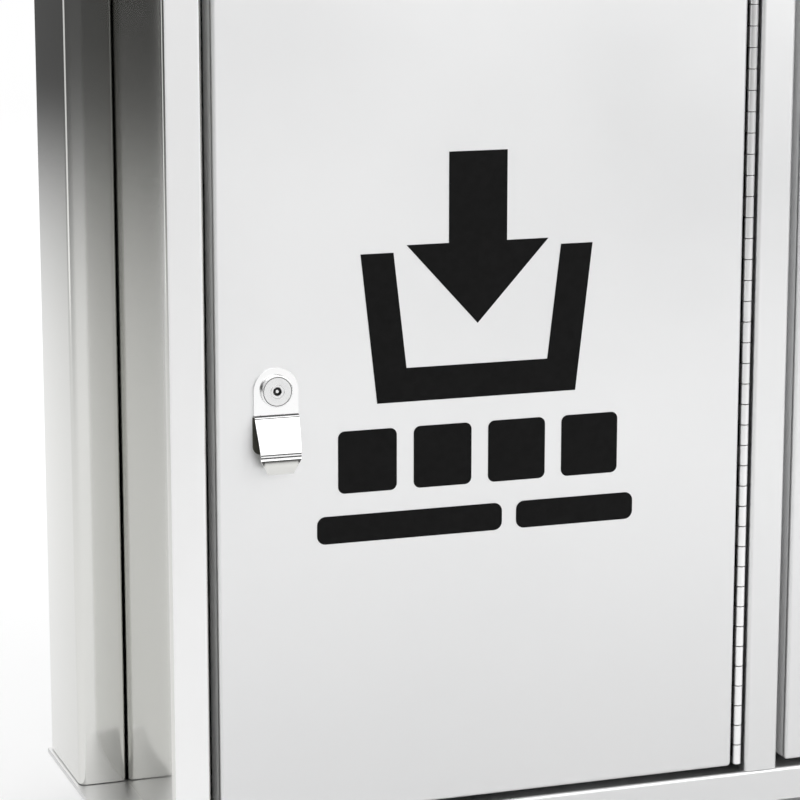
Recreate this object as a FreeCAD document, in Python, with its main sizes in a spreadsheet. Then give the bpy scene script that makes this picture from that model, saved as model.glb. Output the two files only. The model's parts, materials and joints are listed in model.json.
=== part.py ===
import FreeCAD, Part
import math
import os

# Street litter and recycling station in folded stainless steel, two compartments side by side.
# The front faces -Y, +X is to the right and +Z is up. All lengths are millimetres.
# The origin lies on the ground, under the middle of the rain canopy.

doc = FreeCAD.newDocument("recycling_station")
sheet = doc.addObject("Spreadsheet::Sheet", "sizes")

SIZES = [
    # cabinet
    ("cabinet_width", 756),
    ("cabinet_depth", 300),
    ("cabinet_top", 880),
    ("fascia_height", 205),
    ("panel_sheet", 1.5),
    ("bend_radius", 2.5),
    ("stile_width", 23),
    ("mullion_width", 22),
    ("frame_depth", 22),
    ("lid_rim", 25),
    # base
    ("base_top", 81),
    ("tray_rim", 21),
    ("tray_sheet", 2),
    ("rail_side", 30),
    ("rail_wall", 2),
    ("rail_inset", 30),
    ("foot_pad_radius", 22),
    ("foot_pad_height", 10),
    ("foot_flange_height", 4),
    ("foot_flange_radius", 16),
    ("foot_stud_radius", 5),
    ("foot_stud_clearance", 0.2),
    ("foot_stud_top", 70),
    ("foot_nut_height", 8),
    ("foot_nut_across", 17),
    ("anchor_tab_length", 50),
    ("anchor_tab_width", 40),
    ("anchor_tab_sheet", 4),
    ("anchor_tab_lift", 4),
    ("anchor_hole_radius", 6),
    ("anchor_pad_gap", 3),
    # posts and canopy
    ("post_width", 30),
    ("post_depth", 80),
    ("post_wall", 2),
    ("post_corner", 2),
    ("foot_plate_sheet", 3),
    ("foot_plate_proud", 2),
    ("foot_plate_front_inset", 8),
    ("foot_angle_leg", 17),
    ("canopy_depth", 360),
    ("canopy_side_overhang", 6),
    ("canopy_lift", 70),
    ("canopy_rim", 35),
    ("canopy_bend", 5),
    ("soffit_recess", 5),
    ("soffit_clearance", 0.2),
    ("clip_leg", 25),
    ("clip_length", 60),
    ("clip_sheet", 2),
    ("post_bolt_radius", 4),
    ("post_bolt_head_radius", 8),
    ("post_bolt_head_height", 4),
    ("post_bolt_inset", 60),
    # deposit ports
    ("port_width", 240),
    ("port_height", 120),
    ("port_corner", 25),
    ("bezel_flange", 12),
    ("bezel_proud", 3),
    ("bezel_wall", 2),
    ("bezel_sleeve", 26),
    ("bezel_clearance", 0.3),
    # doors
    ("door_thickness", 18),
    ("door_sheet", 1.5),
    ("door_lip", 12),
    ("latch_gap", 5.5),
    ("hinge_gap", 9.5),
    ("sill_gap", 4.5),
    ("head_gap", 4.5),
    ("stiffener_width", 80),
    ("stiffener_sheet", 1.2),
    ("stiffener_end_gap", 4),
    ("stop_width", 60),
    ("stop_drop", 25),
    ("stop_sheet", 1.5),
    ("bumper_radius", 7),
    ("bumper_height", 1.8),
    ("bumper_gap", 0.2),
    ("bumper_drop", 10),
    # piano hinge
    ("knuckle_pitch", 12.7),
    ("knuckle_gap", 0.3),
    ("barrel_radius", 2.8),
    ("barrel_setback", 0.2),
    ("hinge_pin_radius", 1.5),
    ("hinge_pin_clearance", 0.05),
    ("leaf_sheet", 1.2),
    ("leaf_width", 14),
    ("rivet_head_radius", 3),
    ("rivet_head_height", 1),
    ("rivet_shank_radius", 1.6),
    ("rivet_count", 6),
    ("rivet_end_inset", 30),
    # lock and finger pull
    ("lock_inset", 35.5),
    ("lock_height", 258),
    ("lock_head_radius", 9.25),
    ("lock_head_height", 3),
    ("lock_body_radius", 8),
    ("lock_body_depth", 21),
    ("lock_fit", 0.05),
    ("bore_overrun", 1),
    ("core_radius", 4),
    ("core_recess", 0.4),
    ("keyway_radius", 2.6),
    ("keyway_post_radius", 1.1),
    ("keyway_depth", 2.5),
    ("cam_setback", 23),
    ("cam_sheet", 2.5),
    ("cam_width", 16),
    ("cam_length", 48),
    ("cam_bore_radius", 3),
    ("cam_screw_head_radius", 5),
    ("cam_screw_head_height", 3),
    ("lock_nut_across", 22),
    ("lock_nut_height", 5),
    ("pull_width", 26.6),
    ("pull_sheet", 1.2),
    ("pull_flat", 15),
    ("pull_drop", 47),
    ("pull_bulge", 10),
    ("pull_rise_share", 0.62),
    ("pull_rise_place", 0.34),
    ("pull_crest_place", 0.72),
    ("pull_lip_share", 0.9),
    ("pull_lip_width", 15.4),
    ("pull_lip_height", 9),
    # liners
    ("liner_side_room", 29),
    ("liner_front_room", 38),
    ("liner_back_room", 28.5),
    ("liner_headroom", 69),
    ("liner_wall", 1.2),
    ("liner_corner", 14),
    ("liner_rim_proud", 4),
    ("liner_rim_height", 10),
    ("liner_stop_height", 15),
    ("liner_stop_gap", 0.5),
    ("pivot_drop", 30),
    ("pivot_radius", 4),
    ("pivot_fit", 0.05),
    ("pivot_head_radius", 7),
    ("pivot_head_height", 2),
    ("bail_leg_sheet", 3),
    ("bail_leg_width", 14),
    ("bail_leg_gap", 1.5),
    ("pivot_end_play", 0.5),
    ("bail_rest_gap", 0.35),
    ("bail_rod_radius", 3),
    ("bail_rest_angle", 26),
    ("grip_radius", 6),
    ("grip_length", 90),
    ("grip_fit", 0.02),
]


class Measure:
    """A length that carries its number and the sheet expression that gives it."""

    def __init__(self, number, text):
        self.number = float(number)
        self.text = text

    def __add__(self, other):
        other = measure(other)
        return Measure(self.number + other.number, f"({self.text} + {other.text})")

    def __radd__(self, other):
        return measure(other) + self

    def __sub__(self, other):
        other = measure(other)
        return Measure(self.number - other.number, f"({self.text} - {other.text})")

    def __rsub__(self, other):
        return measure(other) - self

    def __mul__(self, other):
        other = measure(other)
        return Measure(self.number * other.number, f"({self.text} * {other.text})")

    def __rmul__(self, other):
        return measure(other) * self

    def __truediv__(self, other):
        other = measure(other)
        return Measure(self.number / other.number, f"({self.text} / {other.text})")

    def __neg__(self):
        return measure(0) - self


def measure(value):
    """Let plain numbers stand beside sheet values in a sum."""
    if isinstance(value, Measure):
        return value
    return Measure(value, repr(float(value)))


def whole_number(value):
    return Measure(math.floor(value.number), f"floor({value.text})")


class Sizes:
    """Every driving size by its name."""


size = Sizes()
for row, (alias, number) in enumerate(SIZES, start=1):
    sheet.set(f"A{row}", alias)
    sheet.set(f"B{row}", str(number))
    sheet.setAlias(f"B{row}", alias)
    setattr(size, alias, Measure(number, f"sizes.{alias}"))
doc.recompute()

AXES = ("x", "y", "z")
X_AXIS = FreeCAD.Vector(1, 0, 0)
Y_AXIS = FreeCAD.Vector(0, 1, 0)
Z_AXIS = FreeCAD.Vector(0, 0, 1)

# Turns that lay a cylinder's own axis along X or along Y.
ALONG_X = FreeCAD.Rotation(Y_AXIS, 90)
ALONG_Y = FreeCAD.Rotation(X_AXIS, -90)
ALONG_Z = FreeCAD.Rotation()

parts = []


# ---------------------------------------------------------------- building helpers


def bind(obj, name, value):
    obj.setExpression(name, measure(value).text)


def place(obj, at, turn=ALONG_Z):
    """Put an object's own origin at three lengths, turned as asked."""
    numbers = [measure(value).number for value in at]
    obj.Placement = FreeCAD.Placement(FreeCAD.Vector(*numbers), turn)
    for axis, value in zip(AXES, at):
        bind(obj, f"Placement.Base.{axis}", value)


def block(name, at, extent, kind="Part::Box", body=None):
    """A box from its lowest corner and its three sides."""
    obj = body.newObject(kind, name) if body else doc.addObject(kind, name)
    for side, value in zip(("Length", "Width", "Height"), extent):
        bind(obj, side, value)
    place(obj, at)
    return obj


def rod(name, at, radius, length, turn=ALONG_Z, kind="Part::Cylinder", body=None):
    """A cylinder from the middle of its first end."""
    obj = body.newObject(kind, name) if body else doc.addObject(kind, name)
    bind(obj, "Radius", radius)
    bind(obj, "Height", length)
    place(obj, at, turn)
    return obj


def hexagon(name, at, across, length, turn=ALONG_Z):
    """A hexagonal bar from the middle of its first end."""
    obj = doc.addObject("Part::Prism", name)
    obj.Polygon = 6
    bind(obj, "Circumradius", across / math.sqrt(3))
    bind(obj, "Height", length)
    place(obj, at, turn)
    return obj


def cut(name, base, tool):
    obj = doc.addObject("Part::Cut", name)
    obj.Base = base
    obj.Tool = tool
    return obj


def fuse(name, pieces):
    obj = doc.addObject("Part::MultiFuse", name)
    obj.Shapes = pieces
    return obj


def group(name, pieces):
    """Identical separate pieces that share one node."""
    obj = doc.addObject("Part::Compound", name)
    obj.Links = pieces
    return obj


def part(obj, label):
    """Declare a finished sub-part under its own name."""
    obj.Label = label
    parts.append(obj)
    return obj


def add_block(body, name, at, extent):
    return block(name, at, extent, "PartDesign::AdditiveBox", body)


def cut_block(body, name, at, extent):
    return block(name, at, extent, "PartDesign::SubtractiveBox", body)


def add_rod(body, name, at, radius, length, turn=ALONG_Z):
    return rod(name, at, radius, length, turn, "PartDesign::AdditiveCylinder", body)


def cut_rod(body, name, at, radius, length, turn=ALONG_Z):
    return rod(name, at, radius, length, turn, "PartDesign::SubtractiveCylinder", body)


def round_edges(body, name, radius, wanted):
    """Round the edges of the body's last feature that pass a test."""
    doc.recompute()
    base = body.Tip
    names = [f"Edge{i}" for i, edge in enumerate(base.Shape.Edges, start=1) if wanted(edge)]
    fillet = body.newObject("PartDesign::Fillet", name)
    fillet.Base = (base, names)
    bind(fillet, "Radius", radius)
    return fillet


def edge_runs_along(edge, direction):
    ends = [vertex.Point for vertex in edge.Vertexes]
    if len(ends) < 2:
        return False
    run = ends[1] - ends[0]
    return run.cross(direction).Length < 1e-4 * run.Length


def edge_middle(edge):
    return edge.BoundBox.Center


def near(first, second):
    return abs(first - second) < 0.01


# ---------------------------------------------------------------- shared levels and lines

half_width = size.cabinet_width / 2
front = -(size.cabinet_depth / 2)
back = size.cabinet_depth / 2
lid_bottom = size.cabinet_top - size.lid_rim
panel_height = lid_bottom - size.base_top
frame_back = front + size.frame_depth
fascia_bottom = lid_bottom - size.fascia_height
opening_height = fascia_bottom - size.base_top
opening_width = (size.cabinet_width - 2 * size.stile_width - size.mullion_width) / 2
door_bottom = size.base_top + size.sill_gap
door_top = fascia_bottom - size.head_gap
door_height = door_top - door_bottom
door_width = opening_width - size.latch_gap - size.hinge_gap
canopy_bottom = size.cabinet_top + size.canopy_lift
canopy_top = canopy_bottom + size.canopy_rim
post_front = -(size.post_depth / 2)
post_back = size.post_depth / 2

# The lowest X of each compartment's door opening, by side.
OPENING_LEFT = {
    "left": -half_width + size.stile_width,
    "right": size.mullion_width / 2,
}
SIDES = ("left", "right")


# ---------------------------------------------------------------- base


def make_base_tray():
    """The floor of the cabinet, folded down all round; its front rim is the bottom rail."""
    body = doc.addObject("PartDesign::Body", "base_tray")
    bottom = size.base_top - size.tray_rim
    add_block(body, "tray_outside", (-half_width, front, bottom),
              (size.cabinet_width, size.cabinet_depth, size.tray_rim))
    top = size.base_top.number
    round_edges(body, "tray_bends", size.bend_radius,
                lambda edge: near(edge_middle(edge).z, top) or edge_runs_along(edge, Z_AXIS))
    wall = size.tray_sheet
    cut_block(body, "tray_inside", (-half_width + wall, front + wall, bottom - wall),
              (size.cabinet_width - 2 * wall, size.cabinet_depth - 2 * wall, size.tray_rim))
    part(body, "base_tray")


def foot_places():
    """The four feet stand under the corners where the base rails meet."""
    away_x = half_width - size.rail_inset - size.rail_side / 2
    away_y = size.cabinet_depth / 2 - size.rail_inset - size.rail_side / 2
    return [(sign_x * away_x, sign_y * away_y) for sign_x in (-1, 1) for sign_y in (-1, 1)]


rail_top = size.base_top - size.tray_sheet
rail_bottom = rail_top - size.rail_side


def make_base_rails():
    """Square tubes under the tray: two full-length ones and two between them."""
    long_run = size.cabinet_width - 2 * size.rail_inset
    cross_run = size.cabinet_depth - 2 * size.rail_inset - 2 * size.rail_side
    wall = size.rail_wall
    hollow = size.rail_side - 2 * wall
    lows = {"front": front + size.rail_inset, "back": back - size.rail_inset - size.rail_side}
    for end, low_y in lows.items():
        outside = block(f"{end}_rail_outside", (-long_run / 2, low_y, rail_bottom),
                        (long_run, size.rail_side, size.rail_side))
        inside = block(f"{end}_rail_inside", (-long_run / 2 - wall, low_y + wall, rail_bottom + wall),
                       (long_run + 2 * wall, hollow, hollow))
        holes = [
            rod(f"{end}_rail_hole_{i}", (x, y, rail_bottom - wall),
                size.foot_stud_radius + size.foot_stud_clearance, 3 * wall)
            for i, (x, y) in enumerate(foot_places())
        ]
        tools = fuse(f"{end}_rail_cuts", [inside] + holes)
        part(cut(f"{end}_base_rail", outside, tools), f"{end}_base_rail")
    for side in SIDES:
        low_x = -half_width + size.rail_inset
        if side == "right":
            low_x = half_width - size.rail_inset - size.rail_side
        low_y = front + size.rail_inset + size.rail_side
        outside = block(f"{side}_rail_outside", (low_x, low_y, rail_bottom),
                        (size.rail_side, cross_run, size.rail_side))
        inside = block(f"{side}_rail_inside", (low_x + wall, low_y - wall, rail_bottom + wall),
                       (hollow, cross_run + 2 * wall, hollow))
        part(cut(f"{side}_base_rail", outside, inside), f"{side}_base_rail")


def make_feet():
    """Levelling feet: a rubber pad, a flanged stud up into the rail, and a nut under it."""
    pads = []
    studs = []
    nuts = []
    nut_bottom = rail_bottom - size.foot_nut_height
    flange_top = size.foot_pad_height + size.foot_flange_height
    for i, (x, y) in enumerate(foot_places()):
        pads.append(rod(f"pad_{i}", (x, y, 0), size.foot_pad_radius, size.foot_pad_height))
        flange = rod(f"flange_{i}", (x, y, size.foot_pad_height), size.foot_flange_radius,
                     size.foot_flange_height)
        stud = rod(f"stud_{i}", (x, y, flange_top), size.foot_stud_radius,
                   size.foot_stud_top - flange_top)
        studs.append(fuse(f"foot_stud_{i}", [flange, stud]))
        nut = hexagon(f"nut_{i}", (x, y, nut_bottom), size.foot_nut_across, size.foot_nut_height)
        thread = rod(f"nut_thread_{i}", (x, y, nut_bottom - size.bore_overrun),
                     size.foot_stud_radius + size.foot_stud_clearance,
                     size.foot_nut_height + 2 * size.bore_overrun)
        nuts.append(cut(f"foot_nut_{i}", nut, thread))
    part(group("foot_pads", pads), "foot_pads")
    part(group("foot_studs", studs), "foot_studs")
    part(group("foot_nuts", nuts), "foot_nuts")


def make_anchor_tabs():
    """Angles on the inner sides of the end rails, each with a hole for a ground bolt."""
    tabs = []
    wall = size.anchor_tab_sheet
    face = half_width - size.rail_inset - size.rail_side
    foot_line = back - size.rail_inset - size.rail_side / 2
    tab_line = foot_line - size.foot_pad_radius - size.anchor_pad_gap - size.anchor_tab_width / 2
    for sign_x in (-1, 1):
        foot_low = -face if sign_x < 0 else face - size.anchor_tab_length
        leg_low = -face if sign_x < 0 else face - wall
        hole_x = sign_x * (face - size.anchor_tab_length / 2)
        for sign_y in (-1, 1):
            middle_y = sign_y * tab_line
            low_y = middle_y - size.anchor_tab_width / 2
            name = f"tab_{sign_x}_{sign_y}".replace("-", "m")
            foot = block(f"{name}_foot", (foot_low, low_y, size.anchor_tab_lift),
                         (size.anchor_tab_length, size.anchor_tab_width, wall))
            leg = block(f"{name}_leg", (leg_low, low_y, size.anchor_tab_lift),
                        (wall, size.anchor_tab_width, rail_top - size.anchor_tab_lift))
            hole = rod(f"{name}_hole", (hole_x, middle_y, size.anchor_tab_lift - wall),
                       size.anchor_hole_radius, 3 * wall)
            tabs.append(cut(name, fuse(f"{name}_angle", [foot, leg]), hole))
    part(group("anchor_tabs", tabs), "anchor_tabs")


# ---------------------------------------------------------------- cabinet shell


def make_side_panel(side):
    """One folded sheet: the side, the front stile and the return that the door closes beside."""
    body = doc.addObject("PartDesign::Body", f"{side}_side_panel")
    outer = -half_width if side == "left" else half_width - size.stile_width
    wall = size.panel_sheet
    add_block(body, f"{side}_side_block", (outer, front, size.base_top),
              (size.stile_width, size.cabinet_depth, panel_height))
    front_line = front.number
    round_edges(body, f"{side}_side_bends", size.bend_radius,
                lambda edge: edge_runs_along(edge, Z_AXIS) and near(edge_middle(edge).y, front_line))
    cut_block(body, f"{side}_side_inside", (outer + wall, front + wall, size.base_top - wall),
              (size.stile_width - 2 * wall, size.cabinet_depth, panel_height + 2 * wall))
    return_x = outer + size.stile_width - 2 * wall if side == "left" else outer - wall
    cut_block(body, f"{side}_side_behind_return", (return_x, frame_back, size.base_top - wall),
              (3 * wall, size.cabinet_depth, panel_height + 2 * wall))
    part(body, f"{side}_side_panel")


def make_back_panel():
    wall = size.panel_sheet
    panel = block("back_panel", (-half_width + wall, back - wall, size.base_top),
                  (size.cabinet_width - 2 * wall, wall, panel_height))
    part(panel, "back_panel")


def make_divider():
    """The sheet that parts the two compartments, behind the mullion."""
    wall = size.panel_sheet
    run = size.cabinet_depth - size.frame_depth - wall
    part(block("divider", (-wall / 2, frame_back, size.base_top), (wall, run, panel_height)), "divider")


def make_mullion():
    """The upright box section between the doors."""
    body = doc.addObject("PartDesign::Body", "mullion")
    run = fascia_bottom - size.base_top
    wall = size.panel_sheet
    low_x = -(size.mullion_width / 2)
    add_block(body, "mullion_outside", (low_x, front, size.base_top),
              (size.mullion_width, size.frame_depth, run))
    round_edges(body, "mullion_bends", size.bend_radius,
                lambda edge: edge_runs_along(edge, Z_AXIS))
    cut_block(body, "mullion_inside", (low_x + wall, front + wall, size.base_top - wall),
              (size.mullion_width - 2 * wall, size.frame_depth - 2 * wall, run + 2 * wall))
    part(body, "mullion")


def port_low_corner(side):
    middle_x = OPENING_LEFT[side] + opening_width / 2
    middle_z = (fascia_bottom + lid_bottom) / 2
    return middle_x - size.port_width / 2, middle_z - size.port_height / 2


def is_port_corner(edge, corners):
    """Edges along Y that stand at one of the given X and Z places."""
    if not edge_runs_along(edge, Y_AXIS):
        return False
    middle = edge_middle(edge)
    return any(near(middle.x, x) and near(middle.z, z) for x, z in corners)


def rectangle_corners(low_x, low_z, width, height):
    numbers_x = (low_x.number, (low_x + width).number)
    numbers_z = (low_z.number, (low_z + height).number)
    return [(x, z) for x in numbers_x for z in numbers_z]


def make_fascia():
    """The front above the doors, with its lower edge folded back, and one port a compartment."""
    body = doc.addObject("PartDesign::Body", "fascia")
    wall = size.panel_sheet
    low_x = -half_width + size.stile_width
    run = size.cabinet_width - 2 * size.stile_width
    height = size.fascia_height
    add_block(body, "fascia_block", (low_x, front, fascia_bottom), (run, size.frame_depth, height))
    low_edge = fascia_bottom.number
    front_line = front.number
    round_edges(body, "fascia_bend", size.bend_radius,
                lambda edge: edge_runs_along(edge, X_AXIS)
                and near(edge_middle(edge).z, low_edge) and near(edge_middle(edge).y, front_line))
    cut_block(body, "fascia_inside", (low_x - wall, front + wall, fascia_bottom + wall),
              (run + 2 * wall, size.frame_depth, height))
    corners = []
    for side in SIDES:
        port_x, port_z = port_low_corner(side)
        cut_block(body, f"{side}_port", (port_x, front - wall, port_z),
                  (size.port_width, 3 * wall, size.port_height))
        corners += rectangle_corners(port_x, port_z, size.port_width, size.port_height)
    round_edges(body, "port_corners", size.port_corner, lambda edge: is_port_corner(edge, corners))
    part(body, "fascia")


def make_bezel(side):
    """A drawn frame that lines the port and covers its cut edge."""
    body = doc.addObject("PartDesign::Body", f"{side}_port_bezel")
    port_x, port_z = port_low_corner(side)
    flange = size.bezel_flange
    fit = size.bezel_clearance
    sleeve_width = size.port_width - 2 * fit
    sleeve_height = size.port_height - 2 * fit
    flange_at = (port_x - flange, front - size.bezel_proud, port_z - flange)
    flange_width = size.port_width + 2 * flange
    flange_height = size.port_height + 2 * flange
    sleeve_at = (port_x + fit, front, port_z + fit)
    wall = size.bezel_wall
    mouth_at = (sleeve_at[0] + wall, front - 2 * size.bezel_proud, sleeve_at[2] + wall)
    mouth_width = sleeve_width - 2 * wall
    mouth_height = sleeve_height - 2 * wall
    add_block(body, f"{side}_bezel_flange", flange_at, (flange_width, size.bezel_proud, flange_height))
    add_block(body, f"{side}_bezel_sleeve", sleeve_at, (sleeve_width, size.bezel_sleeve, sleeve_height))
    cut_block(body, f"{side}_bezel_mouth", mouth_at,
              (mouth_width, size.bezel_sleeve + 3 * size.bezel_proud, mouth_height))
    # From the mouth outwards, so that each round corner still has metal behind it.
    mouth = rectangle_corners(mouth_at[0], mouth_at[2], mouth_width, mouth_height)
    round_edges(body, f"{side}_bezel_mouth_corners", size.port_corner - fit - wall,
                lambda edge: is_port_corner(edge, mouth))
    sleeve = rectangle_corners(sleeve_at[0], sleeve_at[2], sleeve_width, sleeve_height)
    round_edges(body, f"{side}_bezel_sleeve_corners", size.port_corner - fit,
                lambda edge: is_port_corner(edge, sleeve))
    corners = rectangle_corners(flange_at[0], flange_at[2], flange_width, flange_height)
    round_edges(body, f"{side}_bezel_flange_corners", size.port_corner + flange,
                lambda edge: is_port_corner(edge, corners))
    part(body, f"{side}_port_bezel")


def make_lid():
    """The cabinet's top, folded down all round."""
    body = doc.addObject("PartDesign::Body", "cabinet_lid")
    wall = size.panel_sheet
    add_block(body, "lid_outside", (-half_width, front, lid_bottom),
              (size.cabinet_width, size.cabinet_depth, size.lid_rim))
    top = size.cabinet_top.number
    round_edges(body, "lid_bends", size.bend_radius,
                lambda edge: near(edge_middle(edge).z, top) or edge_runs_along(edge, Z_AXIS))
    cut_block(body, "lid_inside", (-half_width + wall, front + wall, lid_bottom - wall),
              (size.cabinet_width - 2 * wall, size.cabinet_depth - 2 * wall, size.lid_rim))
    part(body, "cabinet_lid")


# ---------------------------------------------------------------- posts and canopy

canopy_half = half_width + size.post_width + size.canopy_side_overhang


def make_post(side):
    """A rectangular tube from the foot angle to the inside of the canopy."""
    body = doc.addObject("PartDesign::Body", f"{side}_post")
    low_x = -half_width - size.post_width if side == "left" else half_width
    run = canopy_top - size.panel_sheet - size.base_top
    wall = size.post_wall
    add_block(body, f"{side}_post_outside", (low_x, post_front, size.base_top),
              (size.post_width, size.post_depth, run))
    round_edges(body, f"{side}_post_corners", size.post_corner,
                lambda edge: edge_runs_along(edge, Z_AXIS))
    cut_block(body, f"{side}_post_inside", (low_x + wall, post_front + wall, size.base_top - wall),
              (size.post_width - 2 * wall, size.post_depth - 2 * wall, run + 2 * wall))
    part(body, f"{side}_post")


def foot_angle(side):
    """The angle on the tray's end that the post stands on, level with the tray's top."""
    wall = size.foot_plate_sheet
    plate_width = size.post_width + size.foot_plate_proud
    low_x = -half_width - plate_width if side == "left" else half_width
    leg_x = -half_width - wall if side == "left" else half_width
    low_y = front + size.foot_plate_front_inset
    run = post_back - low_y
    plate = block(f"{side}_foot_plate", (low_x, low_y, size.base_top - wall), (plate_width, run, wall))
    leg = block(f"{side}_foot_leg", (leg_x, low_y, size.base_top - wall - size.foot_angle_leg),
                (wall, run, size.foot_angle_leg))
    return fuse(f"{side}_foot_angle", [plate, leg])


def make_post_bolts():
    """Button-headed bolts from inside the cabinet into each post, four a side."""
    bolts = []
    heights = (size.base_top + size.post_bolt_inset, lid_bottom - size.post_bolt_inset)
    lines = (post_front + size.post_depth / 4, post_back - size.post_depth / 4)
    shank = size.panel_sheet + size.post_wall
    for side in SIDES:
        inner_face = half_width - size.panel_sheet
        for i, z in enumerate(heights):
            for j, y in enumerate(lines):
                name = f"{side}_bolt_{i}{j}"
                head_x = -inner_face
                shank_x = -inner_face - shank
                if side == "right":
                    head_x = inner_face - size.post_bolt_head_height
                    shank_x = inner_face
                head = rod(f"{name}_head", (head_x, y, z), size.post_bolt_head_radius,
                           size.post_bolt_head_height, ALONG_X)
                stem = rod(f"{name}_shank", (shank_x, y, z), size.post_bolt_radius, shank, ALONG_X)
                bolts.append(fuse(name, [head, stem]))
    part(group("post_bolts", bolts), "post_bolts")


def make_canopy():
    """The rain canopy, folded down all round and carried by the posts."""
    body = doc.addObject("PartDesign::Body", "canopy")
    wall = size.panel_sheet
    low_y = -(size.canopy_depth / 2)
    add_block(body, "canopy_outside", (-canopy_half, low_y, canopy_bottom),
              (2 * canopy_half, size.canopy_depth, size.canopy_rim))
    top = canopy_top.number
    round_edges(body, "canopy_bends", size.canopy_bend,
                lambda edge: near(edge_middle(edge).z, top) or edge_runs_along(edge, Z_AXIS))
    cut_block(body, "canopy_inside", (-canopy_half + wall, low_y + wall, canopy_bottom - wall),
              (2 * canopy_half - 2 * wall, size.canopy_depth - 2 * wall, size.canopy_rim))
    part(body, "canopy")


def make_soffit():
    """The sheet that closes the canopy's underside round the posts."""
    wall = size.panel_sheet
    fit = size.soffit_clearance
    edge = wall + fit
    low_z = canopy_bottom + size.soffit_recess
    sheet_block = block("soffit_sheet", (-canopy_half + edge, -(size.canopy_depth / 2) + edge, low_z),
                        (2 * canopy_half - 2 * edge, size.canopy_depth - 2 * edge, wall))
    holes = []
    for side in SIDES:
        low_x = -half_width - size.post_width if side == "left" else half_width
        holes.append(block(f"{side}_soffit_hole", (low_x - fit, post_front - fit, low_z - wall),
                           (size.post_width + 2 * fit, size.post_depth + 2 * fit, 3 * wall)))
    part(cut("canopy_soffit", sheet_block, fuse("soffit_holes", holes)), "canopy_soffit")


def make_canopy_clips():
    """Angles that hold the soffit to the inner faces of the posts."""
    clips = []
    wall = size.clip_sheet
    low_z = canopy_bottom + size.soffit_recess + size.panel_sheet
    middle_y = (post_front + post_back) / 2
    low_y = middle_y - size.clip_length / 2
    for side in SIDES:
        leg_x = -half_width if side == "left" else half_width - wall
        flat_x = -half_width if side == "left" else half_width - size.clip_leg
        leg = block(f"{side}_clip_leg", (leg_x, low_y, low_z), (wall, size.clip_length, size.clip_leg))
        flat = block(f"{side}_clip_flat", (flat_x, low_y, low_z), (size.clip_leg, size.clip_length, wall))
        clips.append(fuse(f"{side}_clip", [leg, flat]))
    part(group("canopy_clips", clips), "canopy_clips")


# ---------------------------------------------------------------- doors


def door_left_edge(side):
    return OPENING_LEFT[side] + size.latch_gap


def lock_place(side):
    return door_left_edge(side) + size.lock_inset, door_bottom + size.lock_height


def make_door(side):
    """A door folded from one sheet, with its edges turned back and then inwards."""
    body = doc.addObject("PartDesign::Body", f"{side}_door_skin")
    wall = size.door_sheet
    low_x = door_left_edge(side)
    add_block(body, f"{side}_door_block", (low_x, front, door_bottom),
              (door_width, size.door_thickness, door_height))
    back_line = (front + size.door_thickness).number
    round_edges(body, f"{side}_door_bends", size.bend_radius,
                lambda edge: not near(edge_middle(edge).y, back_line))
    cut_block(body, f"{side}_door_inside", (low_x + wall, front + wall, door_bottom + wall),
              (door_width - 2 * wall, size.door_thickness - 2 * wall, door_height - 2 * wall))
    rim = wall + size.door_lip
    cut_block(body, f"{side}_door_window", (low_x + rim, front + wall, door_bottom + rim),
              (door_width - 2 * rim, size.door_thickness, door_height - 2 * rim))
    lock_x, lock_z = lock_place(side)
    cut_rod(body, f"{side}_door_lock_hole", (lock_x, front - wall, lock_z),
            size.lock_body_radius + size.lock_fit, 3 * wall, ALONG_Y)
    part(body, f"{side}_door_skin")


def make_stiffener(side):
    """An upright channel inside the door that keeps the skin flat."""
    wall = size.stiffener_sheet
    low_x = door_left_edge(side) + (door_width - size.stiffener_width) / 2
    inset = size.door_sheet + size.stiffener_end_gap
    run = door_height - 2 * inset
    deep = size.door_thickness - 2 * size.door_sheet
    outside = block(f"{side}_stiffener_outside", (low_x, front + size.door_sheet, door_bottom + inset),
                    (size.stiffener_width, deep, run))
    inside = block(f"{side}_stiffener_inside",
                   (low_x + wall, front + size.door_sheet - wall, door_bottom + inset - wall),
                   (size.stiffener_width - 2 * wall, deep, run + 2 * wall))
    part(cut(f"{side}_door_stiffener", outside, inside), f"{side}_door_stiffener")


def door_stop(side):
    """An angle under the fascia that the closed door meets through a rubber bumper."""
    wall = size.stop_sheet
    middle_x = OPENING_LEFT[side] + opening_width / 2
    low_x = middle_x - size.stop_width / 2
    leg_y = front + size.door_thickness + size.bumper_gap + size.bumper_height
    leg = block(f"{side}_stop_leg", (low_x, leg_y, fascia_bottom - size.stop_drop),
                (size.stop_width, wall, size.stop_drop))
    flat = block(f"{side}_stop_flat", (low_x, front + size.bend_radius, fascia_bottom - wall),
                 (size.stop_width, leg_y + wall - front - size.bend_radius, wall))
    # The bumper meets the door's turned-in upper lip.
    bumper_z = door_top - size.bumper_drop
    bumper = rod(f"{side}_door_bumper", (middle_x, leg_y - size.bumper_height, bumper_z),
                 size.bumper_radius, size.bumper_height, ALONG_Y)
    return fuse(f"{side}_door_stop", [leg, flat]), bumper


# ---------------------------------------------------------------- piano hinges

knuckle_count = whole_number(door_height / size.knuckle_pitch)
hinge_run = knuckle_count * size.knuckle_pitch
hinge_bottom = door_bottom + (door_height - hinge_run) / 2
axis_y = front + size.barrel_radius + size.barrel_setback


def hinge_axis_x(side):
    return door_left_edge(side) + door_width + size.hinge_gap / 2


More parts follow.
